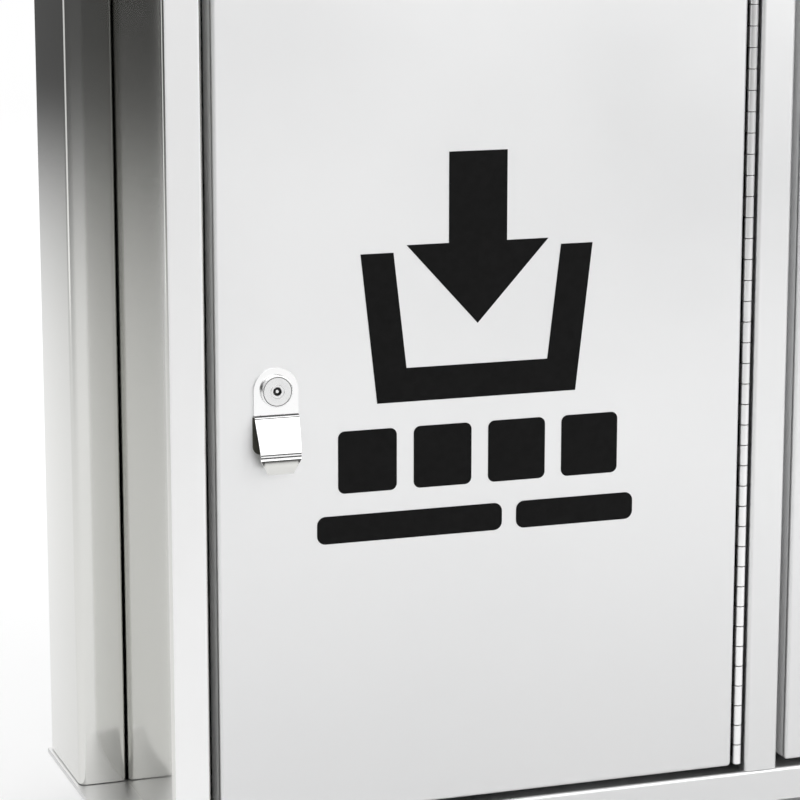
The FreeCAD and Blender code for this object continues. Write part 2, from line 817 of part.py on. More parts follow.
def make_leaf(side, owner):
    """One leaf of the piano hinge: a plate against its piece, rolled round the pin in knuckles.

    The frame's leaf has the even knuckles, from the bottom, and the door's leaf the odd ones.
    """
    body = doc.addObject("PartDesign::Body", f"{side}_{owner}_leaf")
    name = f"{side}_{owner}"
    half_gap = size.hinge_gap / 2
    wall = size.leaf_sheet
    radius = size.barrel_radius
    tongue_y = radius - wall
    plate_x = half_gap - wall if owner == "frame" else -half_gap
    tongue_x = measure(0) if owner == "frame" else -half_gap
    add_rod(body, f"{name}_barrel", (0, 0, 0), radius, hinge_run)
    add_block(body, f"{name}_tongue", (tongue_x, tongue_y, 0), (half_gap, wall, hinge_run))
    add_block(body, f"{name}_plate", (plate_x, tongue_y, 0), (wall, size.leaf_width, hinge_run))
    cut_rod(body, f"{name}_bore", (0, 0, -wall), size.hinge_pin_radius + size.hinge_pin_clearance,
            hinge_run + 2 * wall)
    slot_z = size.knuckle_pitch - size.knuckle_gap / 2
    slots = whole_number(knuckle_count / 2)
    if owner == "door":
        slot_z = -(size.knuckle_gap / 2)
        slots = whole_number((knuckle_count + 1) / 2)
    slot_x = -2 * radius if owner == "frame" else -half_gap + wall
    slot = cut_block(body, f"{name}_slot", (slot_x, -2 * radius, slot_z),
                     (2 * radius + half_gap - wall, 4 * radius,
                      size.knuckle_pitch + size.knuckle_gap))
    doc.recompute()
    pattern = body.newObject("PartDesign::LinearPattern", f"{name}_slots")
    pattern.Originals = [slot]
    origin = body.Origin.OriginFeatures
    pattern.Direction = (next(item for item in origin if item.Role == "Z_Axis"), [""])
    bind(pattern, "Occurrences", slots)
    bind(pattern, "Length", 2 * size.knuckle_pitch * (slots - 1))
    body.Tip = pattern
    place(body, (hinge_axis_x(side), axis_y, hinge_bottom))
    part(body, f"{side}_{owner}_hinge_leaf")


def hinge_pin(side):
    return rod(f"{side}_hinge_pin", (hinge_axis_x(side), axis_y, hinge_bottom),
               size.hinge_pin_radius, hinge_run)


def leaf_rivets(side, owner):
    """Rivets through a hinge leaf and the piece behind it, evenly spaced."""
    rivets = []
    head_x = hinge_axis_x(side) + size.hinge_gap / 2 - size.leaf_sheet - size.rivet_head_height
    shank_x = head_x + size.rivet_head_height
    shank = size.leaf_sheet + size.panel_sheet
    if owner == "door":
        head_x = hinge_axis_x(side) - size.hinge_gap / 2 + size.leaf_sheet
        shank = size.leaf_sheet + size.door_sheet
        shank_x = head_x - shank
    line_y = axis_y + size.barrel_radius - size.leaf_sheet + size.leaf_width / 2
    step = (hinge_run - 2 * size.rivet_end_inset) / (size.rivet_count - 1)
    for i in range(int(size.rivet_count.number)):
        z = hinge_bottom + size.rivet_end_inset + i * step
        name = f"{side}_{owner}_rivet_{i}"
        head = rod(f"{name}_head", (head_x, line_y, z), size.rivet_head_radius,
                   size.rivet_head_height, ALONG_X)
        stem = rod(f"{name}_shank", (shank_x, line_y, z), size.rivet_shank_radius, shank, ALONG_X)
        rivets.append(fuse(name, [head, stem]))
    return rivets


# ---------------------------------------------------------------- lock and finger pull


def make_lock(side):
    """A cam lock: body with its head and nut in the door, and a core that turns the cam."""
    x, z = lock_place(side)
    name = f"{side}_lock"
    fit = size.lock_fit
    plate_front = front - size.pull_sheet
    head_front = plate_front - size.lock_head_height
    lock_run = size.lock_body_depth + size.pull_sheet + size.lock_head_height
    head = rod(f"{name}_head", (x, head_front, z), size.lock_head_radius, size.lock_head_height, ALONG_Y)
    barrel = rod(f"{name}_barrel", (x, plate_front, z), size.lock_body_radius,
                 size.lock_body_depth + size.pull_sheet, ALONG_Y)
    bore = rod(f"{name}_bore", (x, head_front - size.bore_overrun, z), size.core_radius + fit,
               lock_run + 2 * size.bore_overrun, ALONG_Y)
    part(cut(f"{name}_body", fuse(f"{name}_blank", [head, barrel]), bore), f"{name}_body")

    nut = hexagon(f"{name}_nut_blank", (x, front + size.door_sheet, z), size.lock_nut_across,
                  size.lock_nut_height, ALONG_Y)
    thread = rod(f"{name}_nut_thread", (x, front, z), size.lock_body_radius + fit,
                 size.lock_nut_height + 2 * size.door_sheet, ALONG_Y)
    part(cut(f"{name}_nut", nut, thread), f"{name}_nut")

    core_front = head_front + size.core_recess
    cam_front = front + size.cam_setback
    core = rod(f"{name}_core_barrel", (x, core_front, z), size.core_radius,
               cam_front - core_front, ALONG_Y)
    tenon = rod(f"{name}_core_tenon", (x, cam_front, z), size.cam_bore_radius, size.cam_sheet, ALONG_Y)
    keyway = rod(f"{name}_keyway", (x, core_front - 1, z), size.keyway_radius,
                 size.keyway_depth + 1, ALONG_Y)
    key_post = rod(f"{name}_key_post", (x, core_front, z), size.keyway_post_radius,
                   size.keyway_depth, ALONG_Y)
    drilled = cut(f"{name}_core_drilled", fuse(f"{name}_core_blank", [core, tenon]), keyway)
    part(fuse(f"{name}_core", [drilled, key_post]), f"{name}_core")

    half = size.cam_width / 2
    arm = block(f"{name}_cam_arm", (x - half, cam_front, z - size.cam_length + half),
                (size.cam_width, size.cam_sheet, size.cam_length - half))
    hub = rod(f"{name}_cam_hub", (x, cam_front, z), half, size.cam_sheet, ALONG_Y)
    tip = rod(f"{name}_cam_tip", (x, cam_front, z - size.cam_length + half), half,
              size.cam_sheet, ALONG_Y)
    hole = rod(f"{name}_cam_hole", (x, cam_front - 1, z), size.cam_bore_radius + fit,
               size.cam_sheet + 2, ALONG_Y)
    part(cut(f"{name}_cam", fuse(f"{name}_cam_blank", [arm, hub, tip]), hole), f"{name}_cam")

    screw = rod(f"{name}_cam_screw", (x, cam_front + size.cam_sheet, z), size.cam_screw_head_radius,
                size.cam_screw_head_height, ALONG_Y)
    part(screw, f"{name}_cam_screw")


def pull_profile():
    """The finger pull's section, front at -Y and downwards at -Z, from the lock's centre line."""
    sheet_number = size.pull_sheet.number
    top = size.pull_width.number / 2
    fold = -size.pull_flat.number
    end = -size.pull_drop.number
    bulge = size.pull_bulge.number
    rise = size.pull_rise_place.number
    crest = size.pull_crest_place.number
    # The hood leaves the plate at the fold, stands furthest out two thirds down, and turns in.
    outside = [
        FreeCAD.Vector(0, -sheet_number, fold),
        FreeCAD.Vector(0, -size.pull_rise_share.number * bulge - sheet_number, fold + rise * (end - fold)),
        FreeCAD.Vector(0, -bulge - sheet_number, fold + crest * (end - fold)),
        FreeCAD.Vector(0, -size.pull_lip_share.number * bulge - sheet_number, end),
    ]
    inside = [point + FreeCAD.Vector(0, sheet_number, 0) for point in outside]
    outer_curve = Part.BSplineCurve()
    outer_curve.interpolate(outside)
    inner_curve = Part.BSplineCurve()
    inner_curve.interpolate(inside)
    corners = [
        FreeCAD.Vector(0, -sheet_number, top),
        FreeCAD.Vector(0, 0, top),
    ]
    edges = [
        Part.LineSegment(outside[0], corners[0]).toShape(),
        Part.LineSegment(corners[0], corners[1]).toShape(),
        Part.LineSegment(corners[1], inside[0]).toShape(),
        inner_curve.toShape(),
        Part.LineSegment(inside[-1], outside[-1]).toShape(),
        outer_curve.toShape(),
    ]
    return Part.Face(Part.Wire(Part.__sortEdges__(edges)))


def pull_outline():
    """The finger pull seen from the front: a round top, straight sides and a tapered lip."""
    half = size.pull_width.number / 2
    lip = size.pull_lip_width.number / 2
    end = -size.pull_drop.number
    shoulder = end + size.pull_lip_height.number
    start = FreeCAD.Vector(-half, 0, 0)
    top = FreeCAD.Vector(0, 0, half)
    finish = FreeCAD.Vector(half, 0, 0)
    points = [
        finish,
        FreeCAD.Vector(half, 0, shoulder),
        FreeCAD.Vector(lip, 0, end),
        FreeCAD.Vector(-lip, 0, end),
        FreeCAD.Vector(-half, 0, shoulder),
        start,
    ]
    edges = [Part.Arc(start, top, finish).toShape()]
    edges += [Part.LineSegment(a, b).toShape() for a, b in zip(points, points[1:])]
    return Part.Face(Part.Wire(Part.__sortEdges__(edges)))


def make_pull(side):
    """The plate under the lock's head, whose lower half is drawn out into a finger pull."""
    width = size.pull_width.number
    reach = 2 * (size.pull_bulge.number + size.pull_sheet.number)
    band = pull_profile().extrude(FreeCAD.Vector(width, 0, 0))
    band.translate(FreeCAD.Vector(-width / 2, 0, 0))
    mask = pull_outline().extrude(FreeCAD.Vector(0, 2 * reach, 0))
    mask.translate(FreeCAD.Vector(0, -reach, 0))
    hole = Part.makeCylinder((size.lock_body_radius + size.lock_fit).number, 2 * reach,
                             FreeCAD.Vector(0, -reach, 0), Y_AXIS)
    obj = doc.addObject("Part::Feature", f"{side}_finger_pull")
    obj.Shape = band.common(mask).cut(hole)
    x, z = lock_place(side)
    place(obj, (x, front, z))
    part(obj, f"{side}_finger_pull")


# ---------------------------------------------------------------- liners


def liner_middle_x(side):
    return OPENING_LEFT[side] + opening_width / 2


# The liner passes through the door opening and stands clear of the frame and the back panel.
liner_width = opening_width - 2 * size.liner_side_room
liner_height = opening_height - size.liner_headroom
liner_top = size.base_top + liner_height
liner_front = frame_back + size.liner_front_room
liner_back = back - size.panel_sheet - size.liner_back_room
liner_depth = liner_back - liner_front
liner_middle_y = (liner_front + liner_back) / 2
pivot_z = liner_top - size.pivot_drop

# The bail's rod comes to rest in front of the liner's rim.
bail_rest_run = liner_depth / 2 + size.liner_rim_proud + size.bail_rod_radius + size.bail_rest_gap
bail_reach = bail_rest_run / math.cos(math.radians(size.bail_rest_angle.number))


def plan_corners(low_x, low_y, width, depth):
    numbers_x = (low_x.number, (low_x + width).number)
    numbers_y = (low_y.number, (low_y + depth).number)
    return [(x, y) for x in numbers_x for y in numbers_y]


def is_upright_at(edge, corners):
    """Edges along Z that stand at one of the given X and Y places."""
    if not edge_runs_along(edge, Z_AXIS):
        return False
    middle = edge_middle(edge)
    return any(near(middle.x, x) and near(middle.y, y) for x, y in corners)


def make_liner(side):
    """A lift-out bucket with round corners and a rolled rim."""
    body = doc.addObject("PartDesign::Body", f"{side}_liner")
    proud = size.liner_rim_proud
    wall = size.liner_wall
    outer = (liner_middle_x(side) - liner_width / 2, liner_front, size.base_top)
    rim = (outer[0] - proud, outer[1] - proud, liner_top - size.liner_rim_height)
    inner = (outer[0] + wall, outer[1] + wall, outer[2] + wall)
    rim_plan = (liner_width + 2 * proud, liner_depth + 2 * proud)
    inner_plan = (liner_width - 2 * wall, liner_depth - 2 * wall)
    add_block(body, f"{side}_liner_bucket", outer, (liner_width, liner_depth, liner_height))
    add_block(body, f"{side}_liner_rim", rim, rim_plan + (size.liner_rim_height,))
    cut_block(body, f"{side}_liner_hollow", inner, inner_plan + (liner_height,))
    # The inner corners are rounded first, while the sharp outer corners still back them.
    inner_corners = plan_corners(inner[0], inner[1], *inner_plan)
    round_edges(body, f"{side}_liner_inner_corners", size.liner_corner - wall,
                lambda edge: is_upright_at(edge, inner_corners))
    outer_corners = plan_corners(outer[0], outer[1], liner_width, liner_depth)
    round_edges(body, f"{side}_liner_outer_corners", size.liner_corner,
                lambda edge: is_upright_at(edge, outer_corners))
    rim_corners = plan_corners(rim[0], rim[1], *rim_plan)
    round_edges(body, f"{side}_liner_rim_corners", size.liner_corner + proud,
                lambda edge: is_upright_at(edge, rim_corners))
    part(body, f"{side}_liner")


def make_liner_pivots(side):
    """Shouldered pins on the liner's ends that the bail turns on."""
    pins = []
    half = liner_width / 2
    shoulder = size.liner_rim_proud + size.bail_leg_gap + size.bail_leg_sheet + size.pivot_end_play
    for sign in (-1, 1):
        shank_x = liner_middle_x(side) + (half if sign > 0 else -half - shoulder)
        head_x = shank_x + (shoulder if sign > 0 else -size.pivot_head_height)
        name = f"{side}_pivot_{sign}".replace("-", "m")
        shank = rod(f"{name}_shank", (shank_x, liner_middle_y, pivot_z), size.pivot_radius,
                    shoulder, ALONG_X)
        head = rod(f"{name}_head", (head_x, liner_middle_y, pivot_z), size.pivot_head_radius,
                   size.pivot_head_height, ALONG_X)
        pins.append(fuse(name, [shank, head]))
    part(group(f"{side}_liner_pivots", pins), f"{side}_liner_pivots")


def make_bail(side):
    """The carrying handle: two flat legs and a rod, made level and then let down on the liner."""
    body = doc.addObject("PartDesign::Body", f"{side}_bail")
    leg_in = liner_width / 2 + size.liner_rim_proud + size.bail_leg_gap
    half = size.bail_leg_width / 2
    reach = bail_reach
    wall = size.bail_leg_sheet
    add_rod(body, f"{side}_bail_rod", (-leg_in - wall, -reach, 0), size.bail_rod_radius,
            2 * leg_in + 2 * wall, ALONG_X)
    for name, low_x in (("low", -leg_in - wall), ("high", leg_in)):
        add_block(body, f"{side}_bail_leg_{name}", (low_x, -reach, -half),
                  (wall, reach, size.bail_leg_width))
        add_rod(body, f"{side}_bail_eye_{name}", (low_x, 0, 0), half, wall, ALONG_X)
        add_rod(body, f"{side}_bail_end_{name}", (low_x, -reach, 0), half, wall, ALONG_X)
    cut_rod(body, f"{side}_bail_bores", (-leg_in - 2 * wall, 0, 0), size.pivot_radius + size.pivot_fit,
            2 * leg_in + 4 * wall, ALONG_X)
    turn = FreeCAD.Rotation(X_AXIS, size.bail_rest_angle.number)
    place(body, (liner_middle_x(side), liner_middle_y, pivot_z), turn)
    part(body, f"{side}_bail")

    sleeve = rod(f"{side}_grip_outside", (-(size.grip_length / 2), -reach, 0), size.grip_radius,
                 size.grip_length, ALONG_X)
    hole = rod(f"{side}_grip_bore", (-size.grip_length, -reach, 0),
               size.bail_rod_radius + size.grip_fit, 2 * size.grip_length, ALONG_X)
    grip = cut(f"{side}_bail_grip", sleeve, hole)
    place(grip, (liner_middle_x(side), liner_middle_y, pivot_z), turn)
    part(grip, f"{side}_bail_grip")


def liner_stop(side):
    """An angle on the floor that the liner is lifted over."""
    wall = size.panel_sheet
    leg = size.liner_stop_height
    low_x = liner_middle_x(side) - liner_width / 2
    leg_y = liner_front - size.liner_stop_gap - wall
    upright = block(f"{side}_stop_upright", (low_x, leg_y, size.base_top), (liner_width, wall, leg))
    flat = block(f"{side}_stop_floor", (low_x, leg_y + wall - leg, size.base_top),
                 (liner_width, leg, wall))
    return fuse(f"{side}_liner_stop", [upright, flat])


# ---------------------------------------------------------------- assembly


def make_fixed_pairs():
    """Small pieces of the fixed frame, alike on both sides, that share a node."""
    stops, bumpers = zip(*[door_stop(side) for side in SIDES])
    frame_rivets = leaf_rivets("left", "frame") + leaf_rivets("right", "frame")
    part(group("door_stops", list(stops)), "door_stops")
    part(group("door_bumpers", list(bumpers)), "door_bumpers")
    part(group("frame_rivets", frame_rivets), "frame_rivets")
    part(group("foot_angles", [foot_angle(side) for side in SIDES]), "foot_angles")
    part(group("hinge_pins", [hinge_pin(side) for side in SIDES]), "hinge_pins")
    part(group("liner_stops", [liner_stop(side) for side in SIDES]), "liner_stops")


def build():
    make_base_tray()
    make_base_rails()
    make_feet()
    make_anchor_tabs()
    make_back_panel()
    make_divider()
    make_mullion()
    make_fascia()
    make_lid()
    make_canopy()
    make_soffit()
    make_canopy_clips()
    make_post_bolts()
    for side in SIDES:
        make_side_panel(side)
        make_bezel(side)
        make_post(side)
        make_door(side)
        make_stiffener(side)
        for owner in ("frame", "door"):
            make_leaf(side, owner)
        part(group(f"{side}_door_rivets", leaf_rivets(side, "door")), f"{side}_door_rivets")
        make_lock(side)
        make_pull(side)
        make_liner(side)
        make_liner_pivots(side)
        make_bail(side)
    make_fixed_pairs()
    doc.recompute()


def check():
    """Stop before anything is written if an object failed or a sub-part isn't sound."""
    for obj in doc.Objects:
        if "Invalid" in obj.State or "Error" in obj.State:
            raise RuntimeError(f"{obj.Label} failed: {obj.State}")
    for obj in parts:
        if obj.Shape.isNull() or not obj.Shape.isValid():
            raise RuntimeError(f"{obj.Label} has no sound shape")


def export():
    os.makedirs("parts", exist_ok=True)
    for obj in parts:
        obj.Shape.exportStep(os.path.join("parts", f"{obj.Label}.step"))
        box = obj.Shape.BoundBox
        print(f"{obj.Label}: {len(obj.Shape.Solids)} solid(s), {obj.Shape.Volume / 1000:.1f} cm3, "
              f"z {box.ZMin:.1f} to {box.ZMax:.1f}")
    print(f"{len(parts)} sub-parts")


build()
check()
export()
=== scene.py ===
# %% [markdown]
# # A stainless steel sorting station
# This lesson dresses the measured model of a street litter station: folded steel doors on
# piano hinges, cam locks with finger pulls, side posts and a rain canopy. The measured model
# comes first and stays as it is, and every piece made here takes its place from it.

# %% Load the measured model
import json
import math

import bmesh
import bpy
from mathutils import Matrix, Vector


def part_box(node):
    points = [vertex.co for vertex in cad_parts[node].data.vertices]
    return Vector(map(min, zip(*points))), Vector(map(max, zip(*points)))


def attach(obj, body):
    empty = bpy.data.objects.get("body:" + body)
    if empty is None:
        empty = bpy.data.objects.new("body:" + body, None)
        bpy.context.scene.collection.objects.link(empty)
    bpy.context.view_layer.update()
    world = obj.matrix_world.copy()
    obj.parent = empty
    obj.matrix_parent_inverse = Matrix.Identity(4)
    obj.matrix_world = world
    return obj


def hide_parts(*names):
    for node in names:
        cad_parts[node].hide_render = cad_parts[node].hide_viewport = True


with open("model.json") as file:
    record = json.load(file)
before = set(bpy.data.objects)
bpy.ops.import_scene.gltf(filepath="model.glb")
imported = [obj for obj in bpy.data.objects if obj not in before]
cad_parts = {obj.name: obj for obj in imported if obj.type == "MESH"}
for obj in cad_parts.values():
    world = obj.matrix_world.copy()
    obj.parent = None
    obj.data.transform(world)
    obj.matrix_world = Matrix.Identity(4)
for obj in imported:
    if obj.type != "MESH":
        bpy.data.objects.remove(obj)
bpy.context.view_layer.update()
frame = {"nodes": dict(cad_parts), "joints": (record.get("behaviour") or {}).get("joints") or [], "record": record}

nodes = frame["nodes"]
MM = 0.001
SIDES = ("left", "right")

# %% [markdown]
# ## Where things are
# A box of a measured piece gives its lowest and highest corner, and a joint gives a point on
# its axis. The front plane, the doors, the hinge lines and the locks are read from those once,
# and the pieces below are set out from them.

# %% Places taken from the model
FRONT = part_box("mullion")[0].y
JOINTS = {joint["name"]: joint for joint in frame["joints"]}
DOOR = {side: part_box(f"{side}_door_skin") for side in SIDES}
HINGE = {side: Vector(JOINTS[f"{side}_door_hinge"]["pos_m"]) for side in SIDES}
LOCK = {side: Vector(JOINTS[f"{side}_lock_turn"]["pos_m"]) for side in SIDES}
print("door size:", [round(v, 4) for v in DOOR["left"][1] - DOOR["left"][0]])

# %% [markdown]
# ## Camera
# A long lens from the front left, a little above the lock and tipped down, looks at the lower
# part of the left door. The long lens keeps the folded edges nearly parallel, so the eye reads
# straight sheet metal. A short lens would make the posts fan out.

# %% Camera
SENSOR = 36.0
LENS = 135.0
CAMERA_TURN = math.radians(19.3)
CAMERA_TILT = math.radians(11.62)
CAMERA_AT = Vector((-0.803, -1.762, 0.684))

camera_data = bpy.data.cameras.new("station_camera")
camera_data.sensor_width = SENSOR
camera_data.lens = LENS
camera = bpy.data.objects.new("station_camera", camera_data)
camera.location = CAMERA_AT
camera.rotation_euler = (math.pi / 2 - CAMERA_TILT, 0, -CAMERA_TURN)
bpy.context.scene.collection.objects.link(camera)
bpy.context.scene.camera = camera
bpy.context.scene.view_settings.view_transform = "Standard"
print("camera", tuple(round(v, 3) for v in camera.location))

# %% [markdown]
# ## Studio
# Bright steel only looks like steel when it has something to mirror. The floor is pale and
# fades out over a few metres, the world is dark in a band about the horizon and light above
# it, and soft boxes stand in front, to the right and behind, with a weak card on the left.

# %% Studio helpers
def link_nodes(tree, *pairs):
    """Join output sockets to input sockets, two at a time."""
    for out_socket, in_socket in pairs:
        tree.links.new(out_socket, in_socket)


def add_node(tree, kind, inputs=None, **settings):
    """A node with its settings and the values of its inputs."""
    node = tree.nodes.new(kind)
    for name, value in settings.items():
        setattr(node, name, value)
    for name, value in (inputs or {}).items():
        node.inputs[name].default_value = value
    return node


def add_ramp(tree, stops, interpolation="LINEAR"):
    """A colour ramp from (position, grey) stops."""
    ramp = tree.nodes.new("ShaderNodeValToRGB")
    ramp.color_ramp.interpolation = interpolation
    elements = ramp.color_ramp.elements
    while len(elements) < len(stops):
        elements.new(0.5)
    for element, (position, grey) in zip(elements, stops):
        element.position = position
        element.color = (grey, grey, grey, 1)
    return ramp


# %% [markdown]
# ## The surroundings that polished steel mirrors
# Polished steel has hardly any colour of its own: what we see on it is the room. So the world
# is a ramp by height, pale above and dark about the horizon, and that dark band gives the
# posts their soft black streaks. The camera itself sees plain white, chosen by the light path.

# %% World: dark about the horizon, light above
WORLD_STOPS = [
    (0.00, 0.30),
    (0.40, 0.16),
    (0.46, 0.10),
    (0.53, 0.12),
    (0.60, 0.90),
    (0.80, 1.0),
    (1.00, 0.9),
]
world = bpy.data.worlds.new("studio_world")
world.use_nodes = True
bpy.context.scene.world = world
tree = world.node_tree
tree.nodes.clear()
coords = tree.nodes.new("ShaderNodeTexCoord")
split = tree.nodes.new("ShaderNodeSeparateXYZ")
height = add_node(tree, "ShaderNodeMapRange", {"From Min": -1.0, "From Max": 1.0})
sky = add_ramp(tree, WORLD_STOPS, "EASE")
light_path = tree.nodes.new("ShaderNodeLightPath")
seen = add_node(tree, "ShaderNodeBackground", {"Color": (1, 1, 1, 1), "Strength": 1.0})
mirrored = add_node(tree, "ShaderNodeBackground", {"Strength": 0.94})
choose = tree.nodes.new("ShaderNodeMixShader")
world_out = tree.nodes.new("ShaderNodeOutputWorld")
link_nodes(
    tree,
    (coords.outputs["Generated"], split.inputs[0]),
    (split.outputs["Z"], height.inputs["Value"]),
    (height.outputs[0], sky.inputs[0]),
    (sky.outputs[0], mirrored.inputs["Color"]),
    (light_path.outputs["Is Camera Ray"], choose.inputs[0]),
    (mirrored.outputs[0], choose.inputs[1]),
    (seen.outputs[0], choose.inputs[2]),
    (choose.outputs[0], world_out.inputs["Surface"]),
)
print("world stops:", len(WORLD_STOPS))

# %% [markdown]
# ## Floor
# The station stands on a pale floor that has to catch its shadow but show no edge. One large
# disc does both: its material is plain diffuse near the middle and turns clear further out.

# %% Floor that fades out
FLOOR_REACH = 8.0
FADE_FROM = 0.5
FADE_TO = 5.5
bpy.ops.mesh.primitive_circle_add(vertices=96, radius=FLOOR_REACH, fill_type="NGON")
floor = bpy.context.active_object
floor.name = "studio_floor"
floor_material = bpy.data.materials.new("pale_floor")
floor_material.use_nodes = True
tree = floor_material.node_tree
tree.nodes.clear()
coords = tree.nodes.new("ShaderNodeTexCoord")
distance = add_node(tree, "ShaderNodeVectorMath", operation="LENGTH")
fade = add_node(tree, "ShaderNodeMapRange", {"From Min": FADE_FROM, "From Max": FADE_TO},
                interpolation_type="SMOOTHSTEP")
pale = add_node(tree, "ShaderNodeBsdfDiffuse", {"Color": (0.93, 0.93, 0.93, 1)})
clear = tree.nodes.new("ShaderNodeBsdfTransparent")
blend = tree.nodes.new("ShaderNodeMixShader")
floor_out = tree.nodes.new("ShaderNodeOutputMaterial")
link_nodes(
    tree,
    (coords.outputs["Object"], distance.inputs[0]),
    (distance.outputs["Value"], fade.inputs["Value"]),
    (fade.outputs[0], blend.inputs[0]),
    (pale.outputs[0], blend.inputs[1]),
    (clear.outputs[0], blend.inputs[2]),
    (blend.outputs[0], floor_out.inputs["Surface"]),
)
floor.data.materials.append(floor_material)
print("floor fades from", FADE_FROM, "to", FADE_TO)


# %% [markdown]
# ## Soft boxes
# Sheet metal is lit with large soft boxes, because each one also shows as a reflection, and a
# small lamp would show as a hard spot. A wide one stands in front, one to the right and one
# behind. A weak card on the left lifts the post's shaded side.

# %% Soft boxes
def soft_box(name, place, aim, width, height, power):
    """A rectangular area light that faces a point."""
    data = bpy.data.lights.new(name, "AREA")
    data.shape = "RECTANGLE"
    data.size = width
    data.size_y = height
    data.energy = power
    light = bpy.data.objects.new(name, data)
    light.location = place
    light.rotation_euler = (Vector(aim) - Vector(place)).to_track_quat("-Z", "Y").to_euler()
    bpy.context.scene.collection.objects.link(light)
    return light


soft_box("front_box", (0.6, -3.0, 1.9), (0.0, 0.0, 0.4), 3.6, 2.0, 27)
soft_box("right_box", (2.6, -2.4, 1.9), (0.0, 0.0, 0.3), 2.6, 2.6, 44)
soft_box("back_box", (-0.6, 3.2, 2.6), (-0.6, 0.4, 0.0), 4.6, 2.8, 50)
soft_box("left_card", (-2.6, 0.1, 0.6), (-0.4, 0.0, 0.5), 1.2, 1.2, 3.5)

# %% [markdown]
# ## Finishes
# Each finish is a small node tree that reads the object's own coordinates. Rolled stainless
# sheet is a metal whose roughness wanders a little, with a grain that is drawn out up the
# sheet and fine across it, and faint clouds where it was handled. The finish also knows where
# it is on the sheet: its colour is darkened towards the ground as a painted shade, a folded
# flange is brushed while the side behind it is polished, and a door's folded side stays matt.

# %% A metal finish
FLANGE_COLOUR = (0.86, 0.86, 0.86, 1)
FLANGE_ROUGH = 0.42
# Painted shade: the satin sheet's colour is darkened between these two heights above the ground, down to this
# share of its colour.
GROUND_SHADE_LOW = 0.07
GROUND_SHADE_HIGH = 0.34
GROUND_SHADE_LEVEL = 0.84
MATT_FROM = 3.5 * MM
PLANE_SLACK = 0.2 * MM


def new_finish(name):
    """A node material with its tree, its shader and the object coordinates."""
    material = bpy.data.materials.new(name)
    material.use_nodes = True
    tree = material.node_tree
    coords = tree.nodes.new("ShaderNodeTexCoord")
    return material, tree, tree.nodes["Principled BSDF"], coords.outputs["Object"]


def metal_finish(name, light, dark, rough, grain_scale, grain_depth, cloud_scale=3.0,
                 grain_stretch=(1.0, 1.0, 0.02)):
    """Worked metal: clouds of colour and roughness under a stretched grain."""
    material, tree, shader, place = new_finish(name)
    shader.inputs["Metallic"].default_value = 1.0
    clouds = add_node(tree, "ShaderNodeTexNoise",
                      {"Scale": cloud_scale, "Detail": 4.0, "Roughness": 0.55})
    tint = add_node(tree, "ShaderNodeMix", data_type="RGBA")
    tint.inputs[6].default_value = (*dark, 1)
    tint.inputs[7].default_value = (*light, 1)
    spread = add_node(tree, "ShaderNodeMapRange",
                      {"From Min": 0.3, "From Max": 0.7, "To Min": rough[0], "To Max": rough[1]})
    stretch = add_node(tree, "ShaderNodeMapping", {"Scale": grain_stretch})
    grain = add_node(tree, "ShaderNodeTexNoise",
                     {"Scale": grain_scale, "Detail": 3.0, "Roughness": 0.6})
    bump = add_node(tree, "ShaderNodeBump", {"Strength": 1.0, "Distance": grain_depth})
    link_nodes(
        tree,
        (place, clouds.inputs["Vector"]),
        (clouds.outputs[0], tint.inputs[0]),
        (clouds.outputs[0], spread.inputs["Value"]),
        (tint.outputs[2], shader.inputs["Base Color"]),
        (spread.outputs[0], shader.inputs["Roughness"]),
        (place, stretch.inputs["Vector"]),
        (stretch.outputs[0], grain.inputs["Vector"]),
        (grain.outputs[0], bump.inputs["Height"]),
        (bump.outputs[0], shader.inputs["Normal"]),
    )
    return material


def add_front_flange(material, front, flange_rough):
    """Brush only the faces that lie in the front plane, as a folded flange is finished."""
    tree = material.node_tree
    shader = tree.nodes["Principled BSDF"]
    coords = tree.nodes.new("ShaderNodeTexCoord")
    split = tree.nodes.new("ShaderNodeSeparateXYZ")
    at_front = add_node(tree, "ShaderNodeMath", {1: front}, operation="LESS_THAN")
    old_rough = shader.inputs["Roughness"].links[0].from_socket
    old_colour = shader.inputs["Base Color"].links[0].from_socket
    rough = add_node(tree, "ShaderNodeMix", {3: flange_rough}, data_type="FLOAT")
    colour = add_node(tree, "ShaderNodeMix", {7: FLANGE_COLOUR}, data_type="RGBA")
    link_nodes(
        tree,
        (coords.outputs["Object"], split.inputs[0]),
        (split.outputs["Y"], at_front.inputs[0]),
        (at_front.outputs[0], rough.inputs[0]),
        (old_rough, rough.inputs[2]),
        (rough.outputs[0], shader.inputs["Roughness"]),
        (at_front.outputs[0], colour.inputs[0]),
        (old_colour, colour.inputs[6]),
        (colour.outputs[2], shader.inputs["Base Color"]),
    )
    return material


def add_ground_shade(material, low, high, darkest):
    """Darken a finish's colour towards the ground, a painted shade for the darker reflection low down."""
    tree = material.node_tree
    shader = tree.nodes["Principled BSDF"]
    coords = tree.nodes.new("ShaderNodeTexCoord")
    split = tree.nodes.new("ShaderNodeSeparateXYZ")
    level = add_node(tree, "ShaderNodeMapRange", {"From Min": low, "From Max": high,
                                                  "To Min": darkest, "To Max": 1.0},
                     interpolation_type="SMOOTHSTEP")
    scale = add_node(tree, "ShaderNodeVectorMath", operation="SCALE")
    link_nodes(
        tree,
        (coords.outputs["Object"], split.inputs[0]),
        (split.outputs["Z"], level.inputs["Value"]),
        (shader.inputs["Base Color"].links[0].from_socket, scale.inputs[0]),
        (level.outputs[0], scale.inputs["Scale"]),
        (scale.outputs[0], shader.inputs["Base Color"]),
    )
    return material


